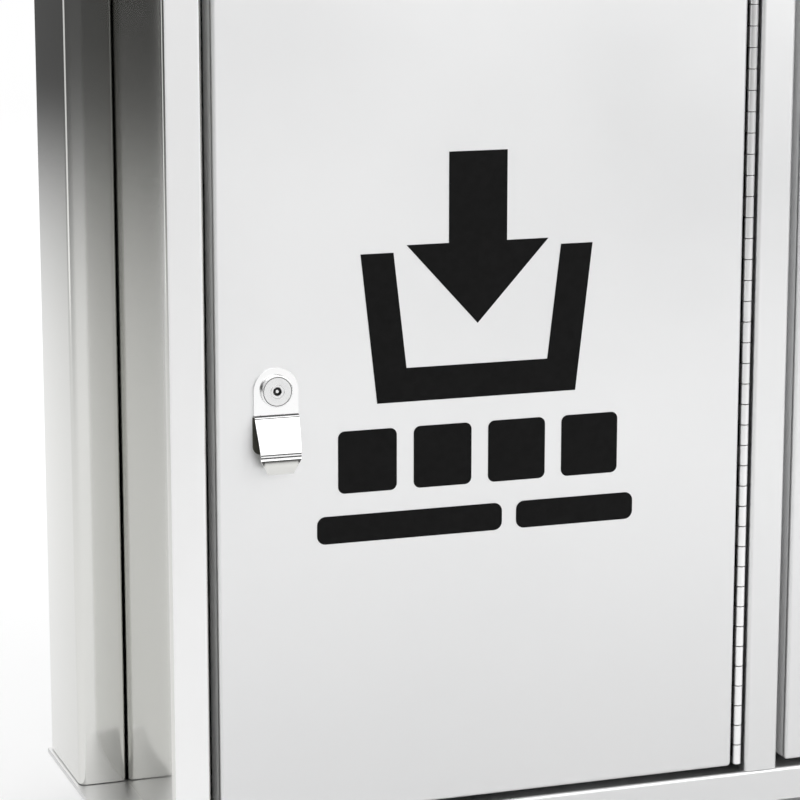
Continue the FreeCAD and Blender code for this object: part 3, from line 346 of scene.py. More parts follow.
def add_matt_edge(material, edges, reach, behind):
    """Leave two folded sides matt behind the bend, where the polishing wheel misses them."""
    tree = material.node_tree
    shader = tree.nodes["Principled BSDF"]
    coords = tree.nodes.new("ShaderNodeTexCoord")
    split = tree.nodes.new("ShaderNodeSeparateXYZ")
    link_nodes(tree, (coords.outputs["Object"], split.inputs[0]))
    marks = []
    for edge in edges:
        mark = add_node(tree, "ShaderNodeMath", {1: edge, 2: reach}, operation="COMPARE")
        link_nodes(tree, (split.outputs["X"], mark.inputs[0]))
        marks.append(mark)
    both = add_node(tree, "ShaderNodeMath", operation="MAXIMUM")
    deep = add_node(tree, "ShaderNodeMath", {1: behind}, operation="GREATER_THAN")
    missed = add_node(tree, "ShaderNodeMath", operation="MULTIPLY")
    polished = add_node(tree, "ShaderNodeMath", {0: 1.0}, operation="SUBTRACT")
    link_nodes(
        tree,
        (marks[0].outputs[0], both.inputs[0]),
        (marks[1].outputs[0], both.inputs[1]),
        (split.outputs["Y"], deep.inputs[0]),
        (both.outputs[0], missed.inputs[0]),
        (deep.outputs[0], missed.inputs[1]),
        (missed.outputs[0], polished.inputs[1]),
        (polished.outputs[0], shader.inputs["Metallic"]),
    )
    return material


def grey(value, cool=0.0):
    """A neutral colour, a touch cooler where asked."""
    return (value - cool, value, value + cool)


def satin_sheet(name):
    """Brushed sheet, its colour darkened towards the ground as a painted shade."""
    metal = metal_finish(name, grey(0.87), grey(0.82, 0.004), (0.38, 0.46), 900.0, 0.000004)
    return add_ground_shade(metal, GROUND_SHADE_LOW, GROUND_SHADE_HIGH, GROUND_SHADE_LEVEL)


def mirror_sheet(name):
    """Polished sheet, faintly warm."""
    return metal_finish(name, (0.68, 0.68, 0.66), (0.64, 0.64, 0.62), (0.08, 0.13),
                        600.0, 0.0000015)


DOOR_EDGES = [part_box(f"{side}_door_skin")[0].x for side in SIDES]
FINISH = {
    "satin": satin_sheet("satin_stainless"),
    "mirror": mirror_sheet("mirror_stainless"),
    "door": add_matt_edge(satin_sheet("door_sheet"), DOOR_EDGES, PLANE_SLACK, FRONT + MATT_FROM),
    "panel": add_front_flange(mirror_sheet("folded_panel"), FRONT + PLANE_SLACK, FLANGE_ROUGH),
    "chrome": metal_finish("chrome_plate", grey(0.90), grey(0.86), (0.03, 0.07),
                           300.0, 0.000001, cloud_scale=20.0),
    "zinc": metal_finish("zinc_plate", grey(0.66, 0.01), grey(0.52), (0.30, 0.48),
                         500.0, 0.00001, cloud_scale=14.0, grain_stretch=(1.0, 1.0, 1.0)),
    "hinge": metal_finish("bright_hinge", grey(0.93), grey(0.88), (0.28, 0.36),
                          500.0, 0.000002, cloud_scale=30.0),
    "head": metal_finish("brushed_chrome", grey(0.86), grey(0.82), (0.20, 0.28),
                         700.0, 0.000002, cloud_scale=20.0, grain_stretch=(1.0, 1.0, 1.0)),
    "plate": metal_finish("foot_plate", grey(0.70), grey(0.66), (0.42, 0.52),
                          500.0, 0.000002),
    # Painted shade: a dark olive metal for the inside of the hood and the backing sheet behind it.
    "tongue": metal_finish("painted_backing_shade", (0.17, 0.17, 0.145), (0.12, 0.12, 0.10),
                           (0.35, 0.50), 300.0, 0.000005, cloud_scale=40.0),
    # Painted shade: a near-black metal that stands for the shade in the hinge gap, the folds of the pull and the
    # lock's hollows.
    "dull": metal_finish("near_black_shade", grey(0.10), grey(0.05), (0.45, 0.60),
                         400.0, 0.00001, cloud_scale=40.0, grain_stretch=(1.0, 1.0, 1.0)),
}
print("metals:", sorted(FINISH))


# %% [markdown]
# Hot-dip galvanising leaves spangles: zinc crystals that each catch the light differently.
# Voronoi cells give each crystal its own brightness and roughness.

# %% Galvanised, rubber, plastic and sign film
def galvanised_finish():
    material, tree, shader, place = new_finish("galvanised_steel")
    shader.inputs["Metallic"].default_value = 1.0
    wobble = add_node(tree, "ShaderNodeTexNoise", {"Scale": 60.0, "Detail": 3.0})
    shift = add_node(tree, "ShaderNodeMix", {"Factor": 0.02}, data_type="VECTOR")
    cells = add_node(tree, "ShaderNodeTexVoronoi", {"Scale": 75.0, "Randomness": 1.0})
    level = add_node(tree, "ShaderNodeSeparateColor")
    colour = add_ramp(tree, [(0.0, 0.40), (0.5, 0.55), (1.0, 0.72)])
    rough = add_node(tree, "ShaderNodeMapRange", {"To Min": 0.28, "To Max": 0.55})
    bump = add_node(tree, "ShaderNodeBump", {"Strength": 0.3, "Distance": 0.0001})
    link_nodes(
        tree,
        (place, wobble.inputs["Vector"]),
        (place, shift.inputs[4]),
        (wobble.outputs[1], shift.inputs[5]),
        (shift.outputs[1], cells.inputs["Vector"]),
        (cells.outputs["Color"], level.inputs[0]),
        (level.outputs[0], colour.inputs[0]),
        (level.outputs[1], rough.inputs["Value"]),
        (colour.outputs[0], shader.inputs["Base Color"]),
        (rough.outputs[0], shader.inputs["Roughness"]),
        (cells.outputs["Distance"], bump.inputs["Height"]),
        (bump.outputs[0], shader.inputs["Normal"]),
    )
    return material


def polymer_finish(name, low, high, rough, pebble_scale, pebble_depth):
    """Moulded rubber, plastic or cast film: a fine pebble and a slightly uneven colour."""
    material, tree, shader, place = new_finish(name)
    pebble = add_node(tree, "ShaderNodeTexNoise", {"Scale": pebble_scale, "Detail": 4.0})
    colour = add_ramp(tree, [(0.3, low), (0.7, high)])
    spread = add_node(tree, "ShaderNodeMapRange", {"To Min": rough[0], "To Max": rough[1]})
    bump = add_node(tree, "ShaderNodeBump", {"Strength": 0.6, "Distance": pebble_depth})
    link_nodes(
        tree,
        (place, pebble.inputs["Vector"]),
        (pebble.outputs[0], colour.inputs[0]),
        (pebble.outputs[0], spread.inputs["Value"]),
        (colour.outputs[0], shader.inputs["Base Color"]),
        (spread.outputs[0], shader.inputs["Roughness"]),
        (pebble.outputs[0], bump.inputs["Height"]),
        (bump.outputs[0], shader.inputs["Normal"]),
    )
    return material


FINISH["galvanised"] = galvanised_finish()
FINISH["rubber"] = polymer_finish("black_rubber", 0.018, 0.03, (0.6, 0.8), 900.0, 0.00008)
FINISH["plastic"] = polymer_finish("black_plastic", 0.02, 0.03, (0.35, 0.5), 700.0, 0.00003)
FINISH["film"] = polymer_finish("black_film", 0.002, 0.004, (0.45, 0.55), 250.0, 0.00001)
FINISH["film"].node_tree.nodes["Principled BSDF"].inputs["Specular IOR Level"].default_value = 0.1
print("finishes:", len(FINISH))

# %% [markdown]
# ## Finishes on the measured pieces
# Every measured piece keeps its shape and gets the finish of its material slot, or one set for the piece itself;
# the hinge pins take the near-black painted shade of the hinge gap.

# %% Dress the measured pieces
SLOT_FINISH = {
    "satin_stainless": "satin",
    "mirror_stainless": "mirror",
    "chrome_plate": "chrome",
    "zinc_steel": "zinc",
    "galvanised_steel": "galvanised",
    "rubber": "rubber",
    "black_plastic": "plastic",
}
# The hinge pins take the near-black painted-shade finish, the shade in the hinge gap.
NODE_FINISH = {"left_side_panel": "panel", "right_side_panel": "panel", "hinge_pins": "dull",
               "foot_angles": "plate", "left_door_skin": "door", "right_door_skin": "door"}
for entry in frame["record"]["subparts"]:
    mesh = nodes[entry["node"]].data
    mesh.materials.clear()
    finish = NODE_FINISH.get(entry["node"], SLOT_FINISH[entry["material_slot"]])
    mesh.materials.append(FINISH[finish])


# %% [markdown]
# ## Mesh helpers
# A new piece is made from lists of points and faces with its place already in the mesh, so
# its object stays at the origin.

# %% Mesh helpers
def new_piece(name, points, faces, finish, slot, smooth=False):
    """A mesh object at the origin from points in metres and faces."""
    mesh = bpy.data.meshes.new(name)
    mesh.from_pydata([tuple(point) for point in points], [], faces)
    mesh.materials.append(FINISH[finish])
    piece = bpy.data.objects.new(name, mesh)
    bpy.context.scene.collection.objects.link(piece)
    tidy_mesh(mesh)
    if smooth:
        mesh.shade_smooth()
    piece["finish_slot"] = slot
    return piece


def tidy_mesh(mesh):
    """Merge doubles and turn all faces outwards."""
    work = bmesh.new()
    work.from_mesh(mesh)
    bmesh.ops.remove_doubles(work, verts=work.verts, dist=0.000002)
    bmesh.ops.recalc_face_normals(work, faces=work.faces)
    work.to_mesh(mesh)
    work.free()


def seat(piece, body, *replaced):
    """Let a finished piece ride on its body, in place of measured pieces where named."""
    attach(piece, body)
    if replaced:
        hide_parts(*replaced)
    print(piece.name, "rides on", body, "with", len(piece.data.polygons), "faces")


def soften(piece, width, segments=2, angle=35):
    """Round the sharp edges of a piece and shade it smoothly."""
    bevel = piece.modifiers.new("round_edges", "BEVEL")
    bevel.width = width
    bevel.segments = segments
    bevel.limit_method = "ANGLE"
    bevel.angle_limit = math.radians(angle)
    piece.data.shade_smooth()
    bevel.harden_normals = True
    make_real(piece)


def make_real(piece):
    """Turn a piece and its modifiers into one plain mesh."""
    graph = bpy.context.evaluated_depsgraph_get()
    graph.update()
    mesh = bpy.data.meshes.new_from_object(piece.evaluated_get(graph))
    piece.modifiers.clear()
    old = piece.data
    piece.data = mesh
    bpy.data.meshes.remove(old)
    mesh.name = piece.name


def box_points(low, high):
    """The eight corners and six faces of a box."""
    x = (low[0], high[0])
    y = (low[1], high[1])
    z = (low[2], high[2])
    points = [(x[i], y[j], z[k]) for k in (0, 1) for j in (0, 1) for i in (0, 1)]
    faces = [(0, 2, 3, 1), (4, 5, 7, 6), (0, 1, 5, 4), (2, 6, 7, 3), (0, 4, 6, 2), (1, 3, 7, 5)]
    return points, faces


def lathe(profile, steps, closed=False):
    """Turn a profile of (radius, height) points about Z. Its ends lie on the axis or it is closed."""
    points = []
    for radius, z in profile:
        for step in range(steps):
            angle = 2 * math.pi * step / steps
            points.append((radius * math.cos(angle), radius * math.sin(angle), z))
    rows = len(profile)
    faces = []
    for row in range(rows if closed else rows - 1):
        after = (row + 1) % rows
        for step in range(steps):
            turn = (step + 1) % steps
            faces.append((row * steps + step, row * steps + turn,
                          after * steps + turn, after * steps + step))
    return points, faces


def moved(points, matrix):
    return [matrix @ Vector(point) for point in points]


print("helpers ready")

# %% [markdown]
# ## What repeats: geometry nodes
# Knuckles, rivets and ribs repeat at an even step. One small tree copies a piece along a
# line: its inputs are the count and the step, and it ends by making the copies real and
# giving them their finish.

# %% A tree that sets copies in a row
def row_tree():
    tree = bpy.data.node_groups.new("row_of_copies", "GeometryNodeTree")
    sockets = tree.interface
    sockets.new_socket("Piece", in_out="INPUT", socket_type="NodeSocketGeometry")
    sockets.new_socket("Count", in_out="INPUT", socket_type="NodeSocketInt")
    sockets.new_socket("Step", in_out="INPUT", socket_type="NodeSocketVector")
    sockets.new_socket("Finish", in_out="INPUT", socket_type="NodeSocketMaterial")
    sockets.new_socket("Row", in_out="OUTPUT", socket_type="NodeSocketGeometry")
    start = tree.nodes.new("NodeGroupInput")
    end = tree.nodes.new("NodeGroupOutput")
    line = add_node(tree, "GeometryNodeMeshLine", mode="OFFSET")
    copies = tree.nodes.new("GeometryNodeInstanceOnPoints")
    real = tree.nodes.new("GeometryNodeRealizeInstances")
    painted = tree.nodes.new("GeometryNodeSetMaterial")
    link_nodes(
        tree,
        (start.outputs["Count"], line.inputs["Count"]),
        (start.outputs["Step"], line.inputs["Offset"]),
        (line.outputs[0], copies.inputs["Points"]),
        (start.outputs["Piece"], copies.inputs["Instance"]),
        (copies.outputs[0], real.inputs[0]),
        (real.outputs[0], painted.inputs["Geometry"]),
        (start.outputs["Finish"], painted.inputs["Material"]),
        (painted.outputs[0], end.inputs[0]),
    )
    return tree


ROW = row_tree()


def with_tree(piece, tree, **values):
    """Run a piece through a geometry tree with named inputs and keep the plain mesh."""
    modifier = piece.modifiers.new(tree.name, "NODES")
    modifier.node_group = tree
    for item in tree.interface.items_tree:
        if item.in_out == "INPUT" and item.name in values:
            modifier[item.identifier] = values[item.name]
    make_real(piece)
    return piece


def row_of(piece, count, step, finish):
    """Copies of a piece in a row, as one mesh."""
    return with_tree(piece, ROW, Count=count, Step=step, Finish=FINISH[finish])


def merge_into(piece, other):
    """Add another piece's mesh and finishes to this one and drop the other."""
    offset = len(piece.data.materials)
    for material in other.data.materials:
        piece.data.materials.append(material)
    for polygon in other.data.polygons:
        polygon.material_index += offset
    work = bmesh.new()
    work.from_mesh(piece.data)
    work.from_mesh(other.data)
    work.to_mesh(piece.data)
    work.free()
    bpy.data.objects.remove(other)


print("tree inputs:", [i.name for i in ROW.interface.items_tree])

# %% [markdown]
# ## Piano hinge
# A piano hinge is two long strips rolled into short barrels that take turns round one pin.
# One barrel with eased ends is modelled, then the tree repeats it at twice the barrel's
# length, and a thin plate carries the row. The other leaf is the same row one barrel up.

# %% Hinge leaves
PITCH = 12.7 * MM
KNUCKLE_GAP = 0.5 * MM
STRAP_BACK = 4.6 * MM
BARREL = 2.8 * MM
PIN = 1.56 * MM
LEAF = 1.2 * MM
EASE = 0.15 * MM


def knuckle_lists():
    """A barrel with eased ends and a bore for the pin."""
    low = KNUCKLE_GAP / 2
    high = PITCH - KNUCKLE_GAP / 2
    profile = [
        (PIN, low), (BARREL - EASE, low), (BARREL, low + EASE),
        (BARREL, high - EASE), (BARREL - EASE, high), (PIN, high),
    ]
    return lathe(profile, 32, closed=True)


def strap_lists(side_sign, half_gap):
    """The strip that runs back from a barrel to its plate."""
    near = side_sign * (PIN + 0.1 * MM)
    far = side_sign * (half_gap - LEAF / 2)
    points = []
    for z in (KNUCKLE_GAP / 2 + EASE, PITCH - KNUCKLE_GAP / 2 - EASE):
        points += [(near, BARREL - LEAF, z), (far, STRAP_BACK, z)]
        points += [(far, STRAP_BACK + LEAF, z), (near, BARREL - 0.3 * MM, z)]
    faces = [(0, 1, 2, 3), (7, 6, 5, 4)]
    faces += [(i, (i + 1) % 4, (i + 1) % 4 + 4, i + 4) for i in range(4)]
    return points, faces


def hinge_leaf(side, owner):
    """One leaf: its barrels, the strips behind them and the plate, as one piece."""
    name = f"{side}_{owner}_hinge_knuckles"
    leaf_low, leaf_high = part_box(f"{side}_{owner}_hinge_leaf")
    pin_low, pin_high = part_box("hinge_pins")
    axis = HINGE[side]
    sign = 1 if owner == "frame" else -1
    half_gap = max(abs(leaf_low.x - axis.x), abs(leaf_high.x - axis.x))
    count = round((pin_high.z - pin_low.z) / PITCH)
    copies = (count + 1) // 2 if owner == "frame" else count // 2
    lift = 0.0 if owner == "frame" else PITCH
    base = Matrix.Translation((axis.x, axis.y, pin_low.z + lift))
    leaf = new_piece(name, *knuckle_lists(), "hinge", "satin_stainless")
    # The strips and the plate sit in the hinge gap and take the near-black painted shade.
    straps = new_piece("straps", *strap_lists(sign, half_gap), "dull", "satin_stainless")
    for row, finish in ((leaf, "hinge"), (straps, "dull")):
        row_of(row, copies, (0, 0, 2 * PITCH), finish)
        row.data.transform(base)
    plate_x = sorted((axis.x + sign * half_gap, axis.x + sign * (half_gap - LEAF)))
    low = (plate_x[0], axis.y + STRAP_BACK, pin_low.z)
    high = (plate_x[1], leaf_high.y, pin_low.z + count * PITCH)
    plate = new_piece("plate", *box_points(low, high), "dull", "satin_stainless")
    merge_into(leaf, straps)
    merge_into(leaf, plate)
    leaf.data.shade_smooth()
    leaf.data.set_sharp_from_angle(angle=math.radians(30))
    seat(leaf, "cabinet" if owner == "frame" else f"{side}_door", f"{side}_{owner}_hinge_leaf")
    return copies


for side in SIDES:
    for owner in ("frame", "door"):
        print(side, owner, "leaf, barrels:", hinge_leaf(side, owner))

# %% [markdown]
# ## Rivets
# A rivet is a shank with a low domed head. One is turned and then repeated up each leaf, six
# to a leaf, with the heads in the gap where they clear each other when the door shuts.

# %% Rivets on the hinge leaves
RIVET = 3.0 * MM
RIVET_DOME = 1.0 * MM
SHANK = 1.6 * MM
GRIP = 2.7 * MM
LEAF_RIVETS = 6


def rivet_lists(steps=24, rings=6):
    """A shank below Z = 0 and a low dome above it."""
    profile = [(0.0, -GRIP), (SHANK, -GRIP), (SHANK, 0.0), (RIVET, 0.0)]
    for ring in range(1, rings + 1):
        angle = math.pi / 2 * ring / rings
        profile.append((RIVET * math.cos(angle), RIVET_DOME * math.sin(angle)))
    return lathe(profile, steps)


def rivet_row(name, seat_x, facing):
    """Six rivets up a leaf whose face is at seat_x; facing is 1 for heads towards +X."""
    low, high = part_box("left_door_rivets")
    step = (high.z - low.z - 2 * RIVET) / (LEAF_RIVETS - 1)
    points, faces = rivet_lists()
    turn = Matrix.Rotation(facing * math.pi / 2, 4, "Y")
    # The rivets sit in the hinge gap and take the near-black painted shade.
    row = new_piece(name, moved(points, turn), faces, "dull", "satin_stainless", smooth=True)
    row_of(row, LEAF_RIVETS, (0, 0, step), "dull")
    row.data.transform(Matrix.Translation((seat_x, (low.y + high.y) / 2, low.z + RIVET)))
    return row


for side in SIDES:
    row = rivet_row(f"{side}_door_leaf_rivets", DOOR[side][1].x + LEAF, 1)
    seat(row, f"{side}_door", f"{side}_door_rivets")
frame_rows = []
for side in SIDES:
    seat_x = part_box(f"{side}_frame_hinge_leaf")[1].x - LEAF
    frame_rows.append(rivet_row(f"{side}_frame_leaf_rivets", seat_x, -1))
seat(frame_rows[0], "cabinet", "frame_rivets")
seat(frame_rows[1], "cabinet")

# %% [markdown]
# ## Side posts
# Each post is a rectangular tube with small round corners, so it follows a rule: a rounded
# rectangle that a wall's section is drawn round. The tree takes width, depth, height, wall
# and corner as its inputs, and the tube comes out closed at both rims.

# %% A tree that draws a rectangular tube
def tube_tree():
    tree = bpy.data.node_groups.new("rectangular_tube", "GeometryNodeTree")
    sockets = tree.interface
    sockets.new_socket("Piece", in_out="INPUT", socket_type="NodeSocketGeometry")
    for name in ("Width", "Depth", "Height", "Wall", "Corner"):
        sockets.new_socket(name, in_out="INPUT", socket_type="NodeSocketFloat")
    sockets.new_socket("Finish", in_out="INPUT", socket_type="NodeSocketMaterial")
    sockets.new_socket("Tube", in_out="OUTPUT", socket_type="NodeSocketGeometry")
    start = tree.nodes.new("NodeGroupInput")
    end = tree.nodes.new("NodeGroupOutput")
    less_x = add_node(tree, "ShaderNodeMath", operation="SUBTRACT")
    less_y = add_node(tree, "ShaderNodeMath", operation="SUBTRACT")
    half_wall = add_node(tree, "ShaderNodeMath", {1: 0.5}, operation="MULTIPLY")
    middle = add_node(tree, "ShaderNodeMath", operation="SUBTRACT")
    plan = tree.nodes.new("GeometryNodeCurvePrimitiveQuadrilateral")
    round_corners = add_node(tree, "GeometryNodeFilletCurve", {"Count": 6}, mode="POLY")
    section = tree.nodes.new("GeometryNodeCurvePrimitiveQuadrilateral")
    sweep = tree.nodes.new("GeometryNodeCurveToMesh")
    flat = add_node(tree, "GeometryNodeSetShadeSmooth", {"Shade Smooth": False})
    real = tree.nodes.new("GeometryNodeRealizeInstances")
    painted = tree.nodes.new("GeometryNodeSetMaterial")
    link_nodes(
        tree,
        (start.outputs["Width"], less_x.inputs[0]),
        (start.outputs["Wall"], less_x.inputs[1]),
        (start.outputs["Depth"], less_y.inputs[0]),
        (start.outputs["Wall"], less_y.inputs[1]),
        (start.outputs["Wall"], half_wall.inputs[0]),
        (start.outputs["Corner"], middle.inputs[0]),
        (half_wall.outputs[0], middle.inputs[1]),
        (less_x.outputs[0], plan.inputs["Width"]),
        (less_y.outputs[0], plan.inputs["Height"]),
        (plan.outputs[0], round_corners.inputs["Curve"]),
        (middle.outputs[0], round_corners.inputs["Radius"]),
        (start.outputs["Wall"], section.inputs["Width"]),
        (start.outputs["Height"], section.inputs["Height"]),
        (round_corners.outputs[0], sweep.inputs["Curve"]),
        (section.outputs[0], sweep.inputs["Profile Curve"]),
        (sweep.outputs[0], flat.inputs["Geometry"]),
        (flat.outputs[0], real.inputs[0]),
        (real.outputs[0], painted.inputs["Geometry"]),
        (start.outputs["Finish"], painted.inputs["Material"]),
        (painted.outputs[0], end.inputs[0]),
    )
    return tree


TUBE = tube_tree()
POST_WALL = 2.0 * MM
POST_CORNER = 4.5 * MM
FOOT_JOINT = 0.5 * MM
for side in SIDES:
    low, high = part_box(f"{side}_post")
    post = new_piece(f"{side}_post_tube", [], [], "mirror", "mirror_stainless")
    low.z += FOOT_JOINT
    size = high - low
    with_tree(post, TUBE, Width=size.x, Depth=size.y, Height=size.z, Wall=POST_WALL,
              Corner=POST_CORNER, Finish=FINISH["mirror"])
    tidy_mesh(post.data)
    post.data.transform(Matrix.Translation((low + high) / 2))
    post.data.shade_smooth()
    post.data.set_sharp_from_angle(angle=math.radians(30))
    seat(post, "cabinet", f"{side}_post")
    corners = [Vector(v.co) for v in post.data.vertices]
    spread = [max(c[i] for c in corners) - min(c[i] for c in corners) for i in range(3)]
    print("tube:", [round(v, 4) for v in spread], "wanted:", [round(v, 4) for v in size])

# %% [markdown]
# ## Feet
# A levelling foot is a moulded rubber pad with a ring of ribs round its side, so that it can
# be gripped and turned. One rib is placed on a circle of points and the pad stands inside.

# %% Ribbed feet
RIBS = 28
RIB = 0.5 * MM


def rib_tree():
    tree = bpy.data.node_groups.new("ring_of_copies", "GeometryNodeTree")
    sockets = tree.interface
    sockets.new_socket("Piece", in_out="INPUT", socket_type="NodeSocketGeometry")
    sockets.new_socket("Count", in_out="INPUT", socket_type="NodeSocketInt")
    sockets.new_socket("Radius", in_out="INPUT", socket_type="NodeSocketFloat")
    sockets.new_socket("Finish", in_out="INPUT", socket_type="NodeSocketMaterial")
    sockets.new_socket("Ring", in_out="OUTPUT", socket_type="NodeSocketGeometry")
    start = tree.nodes.new("NodeGroupInput")
    end = tree.nodes.new("NodeGroupOutput")
    circle = tree.nodes.new("GeometryNodeMeshCircle")
    facing = tree.nodes.new("GeometryNodeInputPosition")
    align = add_node(tree, "FunctionNodeAlignRotationToVector", axis="X")
    copies = tree.nodes.new("GeometryNodeInstanceOnPoints")
    real = tree.nodes.new("GeometryNodeRealizeInstances")
    painted = tree.nodes.new("GeometryNodeSetMaterial")
    link_nodes(
        tree,
        (start.outputs["Count"], circle.inputs["Vertices"]),
        (start.outputs["Radius"], circle.inputs["Radius"]),
        (circle.outputs[0], copies.inputs["Points"]),
        (start.outputs["Piece"], copies.inputs["Instance"]),
        (facing.outputs[0], align.inputs["Vector"]),
        (align.outputs[0], copies.inputs["Rotation"]),
        (copies.outputs[0], real.inputs[0]),
        (real.outputs[0], painted.inputs["Geometry"]),
        (start.outputs["Finish"], painted.inputs["Material"]),
        (painted.outputs[0], end.inputs[0]),
    )
    return tree


RING = rib_tree()
PAD_EASE = 1.0 * MM
PAD_SHOULDER = 2.0 * MM
RIB_HALF = 0.9 * MM
RIB_ROOT = 1.0 * MM
RIB_LOW = 1.2 * MM
RIB_TOP_GAP = 2.4 * MM
PAD_STEPS = 56
pad_low, pad_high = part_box("foot_pads")
PAD = 22.0 * MM
pad_top = pad_high.z
foot_centres = [(x, y) for x in (pad_low.x + PAD, pad_high.x - PAD)
                for y in (pad_low.y + PAD, pad_high.y - PAD)]
body = PAD - RIB
profile = [(0.0, 0.0), (body - PAD_EASE, 0.0), (body, PAD_EASE), (body, pad_top - PAD_SHOULDER)]
profile += [(body - PAD_SHOULDER, pad_top), (0.0, pad_top)]
for index, (x, y) in enumerate(foot_centres):
    foot = new_piece(f"foot_{index + 1}_pad", *lathe(profile, PAD_STEPS), "rubber", "rubber")
    rib = box_points((-RIB_ROOT, -RIB_HALF, RIB_LOW), (RIB, RIB_HALF, pad_top - RIB_TOP_GAP))
    ring = new_piece("ribs", *rib, "rubber", "rubber")
    with_tree(ring, RING, Count=RIBS, Radius=body, Finish=FINISH["rubber"])
    merge_into(foot, ring)
    foot.data.transform(Matrix.Translation((x, y, 0)))
    foot.data.shade_smooth()
    foot.data.set_sharp_from_angle(angle=math.radians(30))
    seat(foot, "cabinet", *(["foot_pads"] if index == 0 else []))
print("ribs on a pad:", RIBS)

# %% [markdown]
# ## Finger pull
# Under the lock's head a plate of plated steel is folded out from the door so that two
# fingers fit behind it. Seen from the front it is round at the top and tapers at the lip. It
# is made as a bent strip: a list of stations down the strip gives the width there, and a
# folded profile gives the depth. The faces in the folds are painted near-black as painted
# shade, the inside of the hood is painted dark as painted shade, the lip below the folds takes
# the darker polished-steel finish as painted shade, and a dark backing sheet, also painted
# shade, shows a little past the hood's sides.

# %% Finger pull
PULL_WIDTH = 26.6 * MM
PULL_SHEET = 1.2 * MM
FOLD_ONE = -14.0 * MM
FOLD_TWO = -36.5 * MM
PULL_END = -47.0 * MM
PULL_OUT = 9.6 * MM
LIP_WIDTH = 15.4 * MM
HOOD_TAPER = 1.3 * MM
STEP_RUN = 2.0 * MM
STEP_OUT = 1.5 * MM
HOOD_TURN = math.radians(64)
GROOVE_RUN = 2.4 * MM
GROOVE_DEPTH = 0.8 * MM
LIP_LEAN = 0.16
# Painted shade: bands down from the first fold whose faces are painted near-black for the shade in the folds.
FOLD_SHADE_BANDS = [(0.0, 0.6 * MM), (1.4 * MM, 2.1 * MM), (22.4 * MM, 23.3 * MM)]
TONGUE_SHOW = 0.7 * MM
TONGUE_CORNER = 5.0 * MM
TONGUE_END = -37.0 * MM
TONGUE_DEPTHS = (0.02 * MM, 0.22 * MM)
PULL_LIFT = 0.02 * MM
PULL_TIP = 0.35 * MM
PULL_EDGE = 0.22 * MM


def pull_depth(z):
    """How far the sheet's outer face stands from the door at a height below the lock."""
    run = FOLD_ONE - z
    hood = FOLD_ONE - FOLD_TWO
    if run <= 0:
        return 0.0
    if run <= STEP_RUN:
        return STEP_OUT * (1 - math.cos(math.pi * run / STEP_RUN)) / 2
    if run <= hood:
        turn = HOOD_TURN * (run - STEP_RUN) / (hood - STEP_RUN)
        return STEP_OUT + (PULL_OUT - STEP_OUT) * math.sin(turn) / math.sin(HOOD_TURN)
    below = run - hood
    if below <= GROOVE_RUN:
        return PULL_OUT - GROOVE_DEPTH * (1 - math.cos(2 * math.pi * below / GROOVE_RUN)) / 2
    return PULL_OUT - LIP_LEAN * (below - GROOVE_RUN)


def pull_half_width(z):
    """Half the strip's width: a half circle at the top and a tapered lip."""
    half = PULL_WIDTH / 2
    if z > 0:
        return math.sqrt(max(half * half - z * z, 0.0))
    waist = half - HOOD_TAPER * min(max((FOLD_ONE - z) / (FOLD_ONE - FOLD_TWO), 0.0), 1.0)
    shoulder = FOLD_TWO - GROOVE_RUN
    if z > shoulder:
        return waist
    share = (shoulder - z) / (shoulder - PULL_END)
    return waist * (1 - share) + LIP_WIDTH / 2 * share


def pull_stations():
    """Heights down the strip, close together round the top, in the step and in the groove."""
    half = PULL_WIDTH / 2
    top = [half * math.cos(math.pi / 2 * i / 16) for i in range(16)]
    flat = [0.0, FOLD_ONE / 2]
    step = [FOLD_ONE - 0.3 * MM * i for i in range(9)]
    hood = [FOLD_ONE - 3.2 * MM + (FOLD_TWO - FOLD_ONE + 3.2 * MM) * i / 14 for i in range(15)]
    groove = [FOLD_TWO - 0.3 * MM * i for i in range(1, 9)]
    return sorted(set(top + flat + step + hood + groove + [PULL_END]), reverse=True)


def tongue(side):
    """A dark backing sheet that lies on the door behind the hood, with round lower corners: painted shade for the
    hollow under the hood.
    """
    half = PULL_WIDTH / 2 + TONGUE_SHOW
    top = FOLD_ONE - 0.5 * STEP_RUN
    outline = [(half, top), (-half, top)]
    for turn in (180, 270):
        side_sign = -1 if turn == 180 else 1
        centre = (side_sign * (half - TONGUE_CORNER), TONGUE_END + TONGUE_CORNER)
        for i in range(7):
            angle = math.radians(turn + 90 * i / 6)
            outline.append((centre[0] + TONGUE_CORNER * math.cos(angle),
                            centre[1] + TONGUE_CORNER * math.sin(angle)))
    count = len(outline)
    points = []
    for depth in TONGUE_DEPTHS:
        points += [(LOCK[side].x + x, FRONT - depth, LOCK[side].z + z) for x, z in outline]
    faces = [tuple(range(count)), tuple(reversed(range(count, 2 * count)))]
    faces += [(i, (i + 1) % count, (i + 1) % count + count, i + count) for i in range(count)]
    return new_piece("tongue", points, faces, "tongue", "chrome_plate")


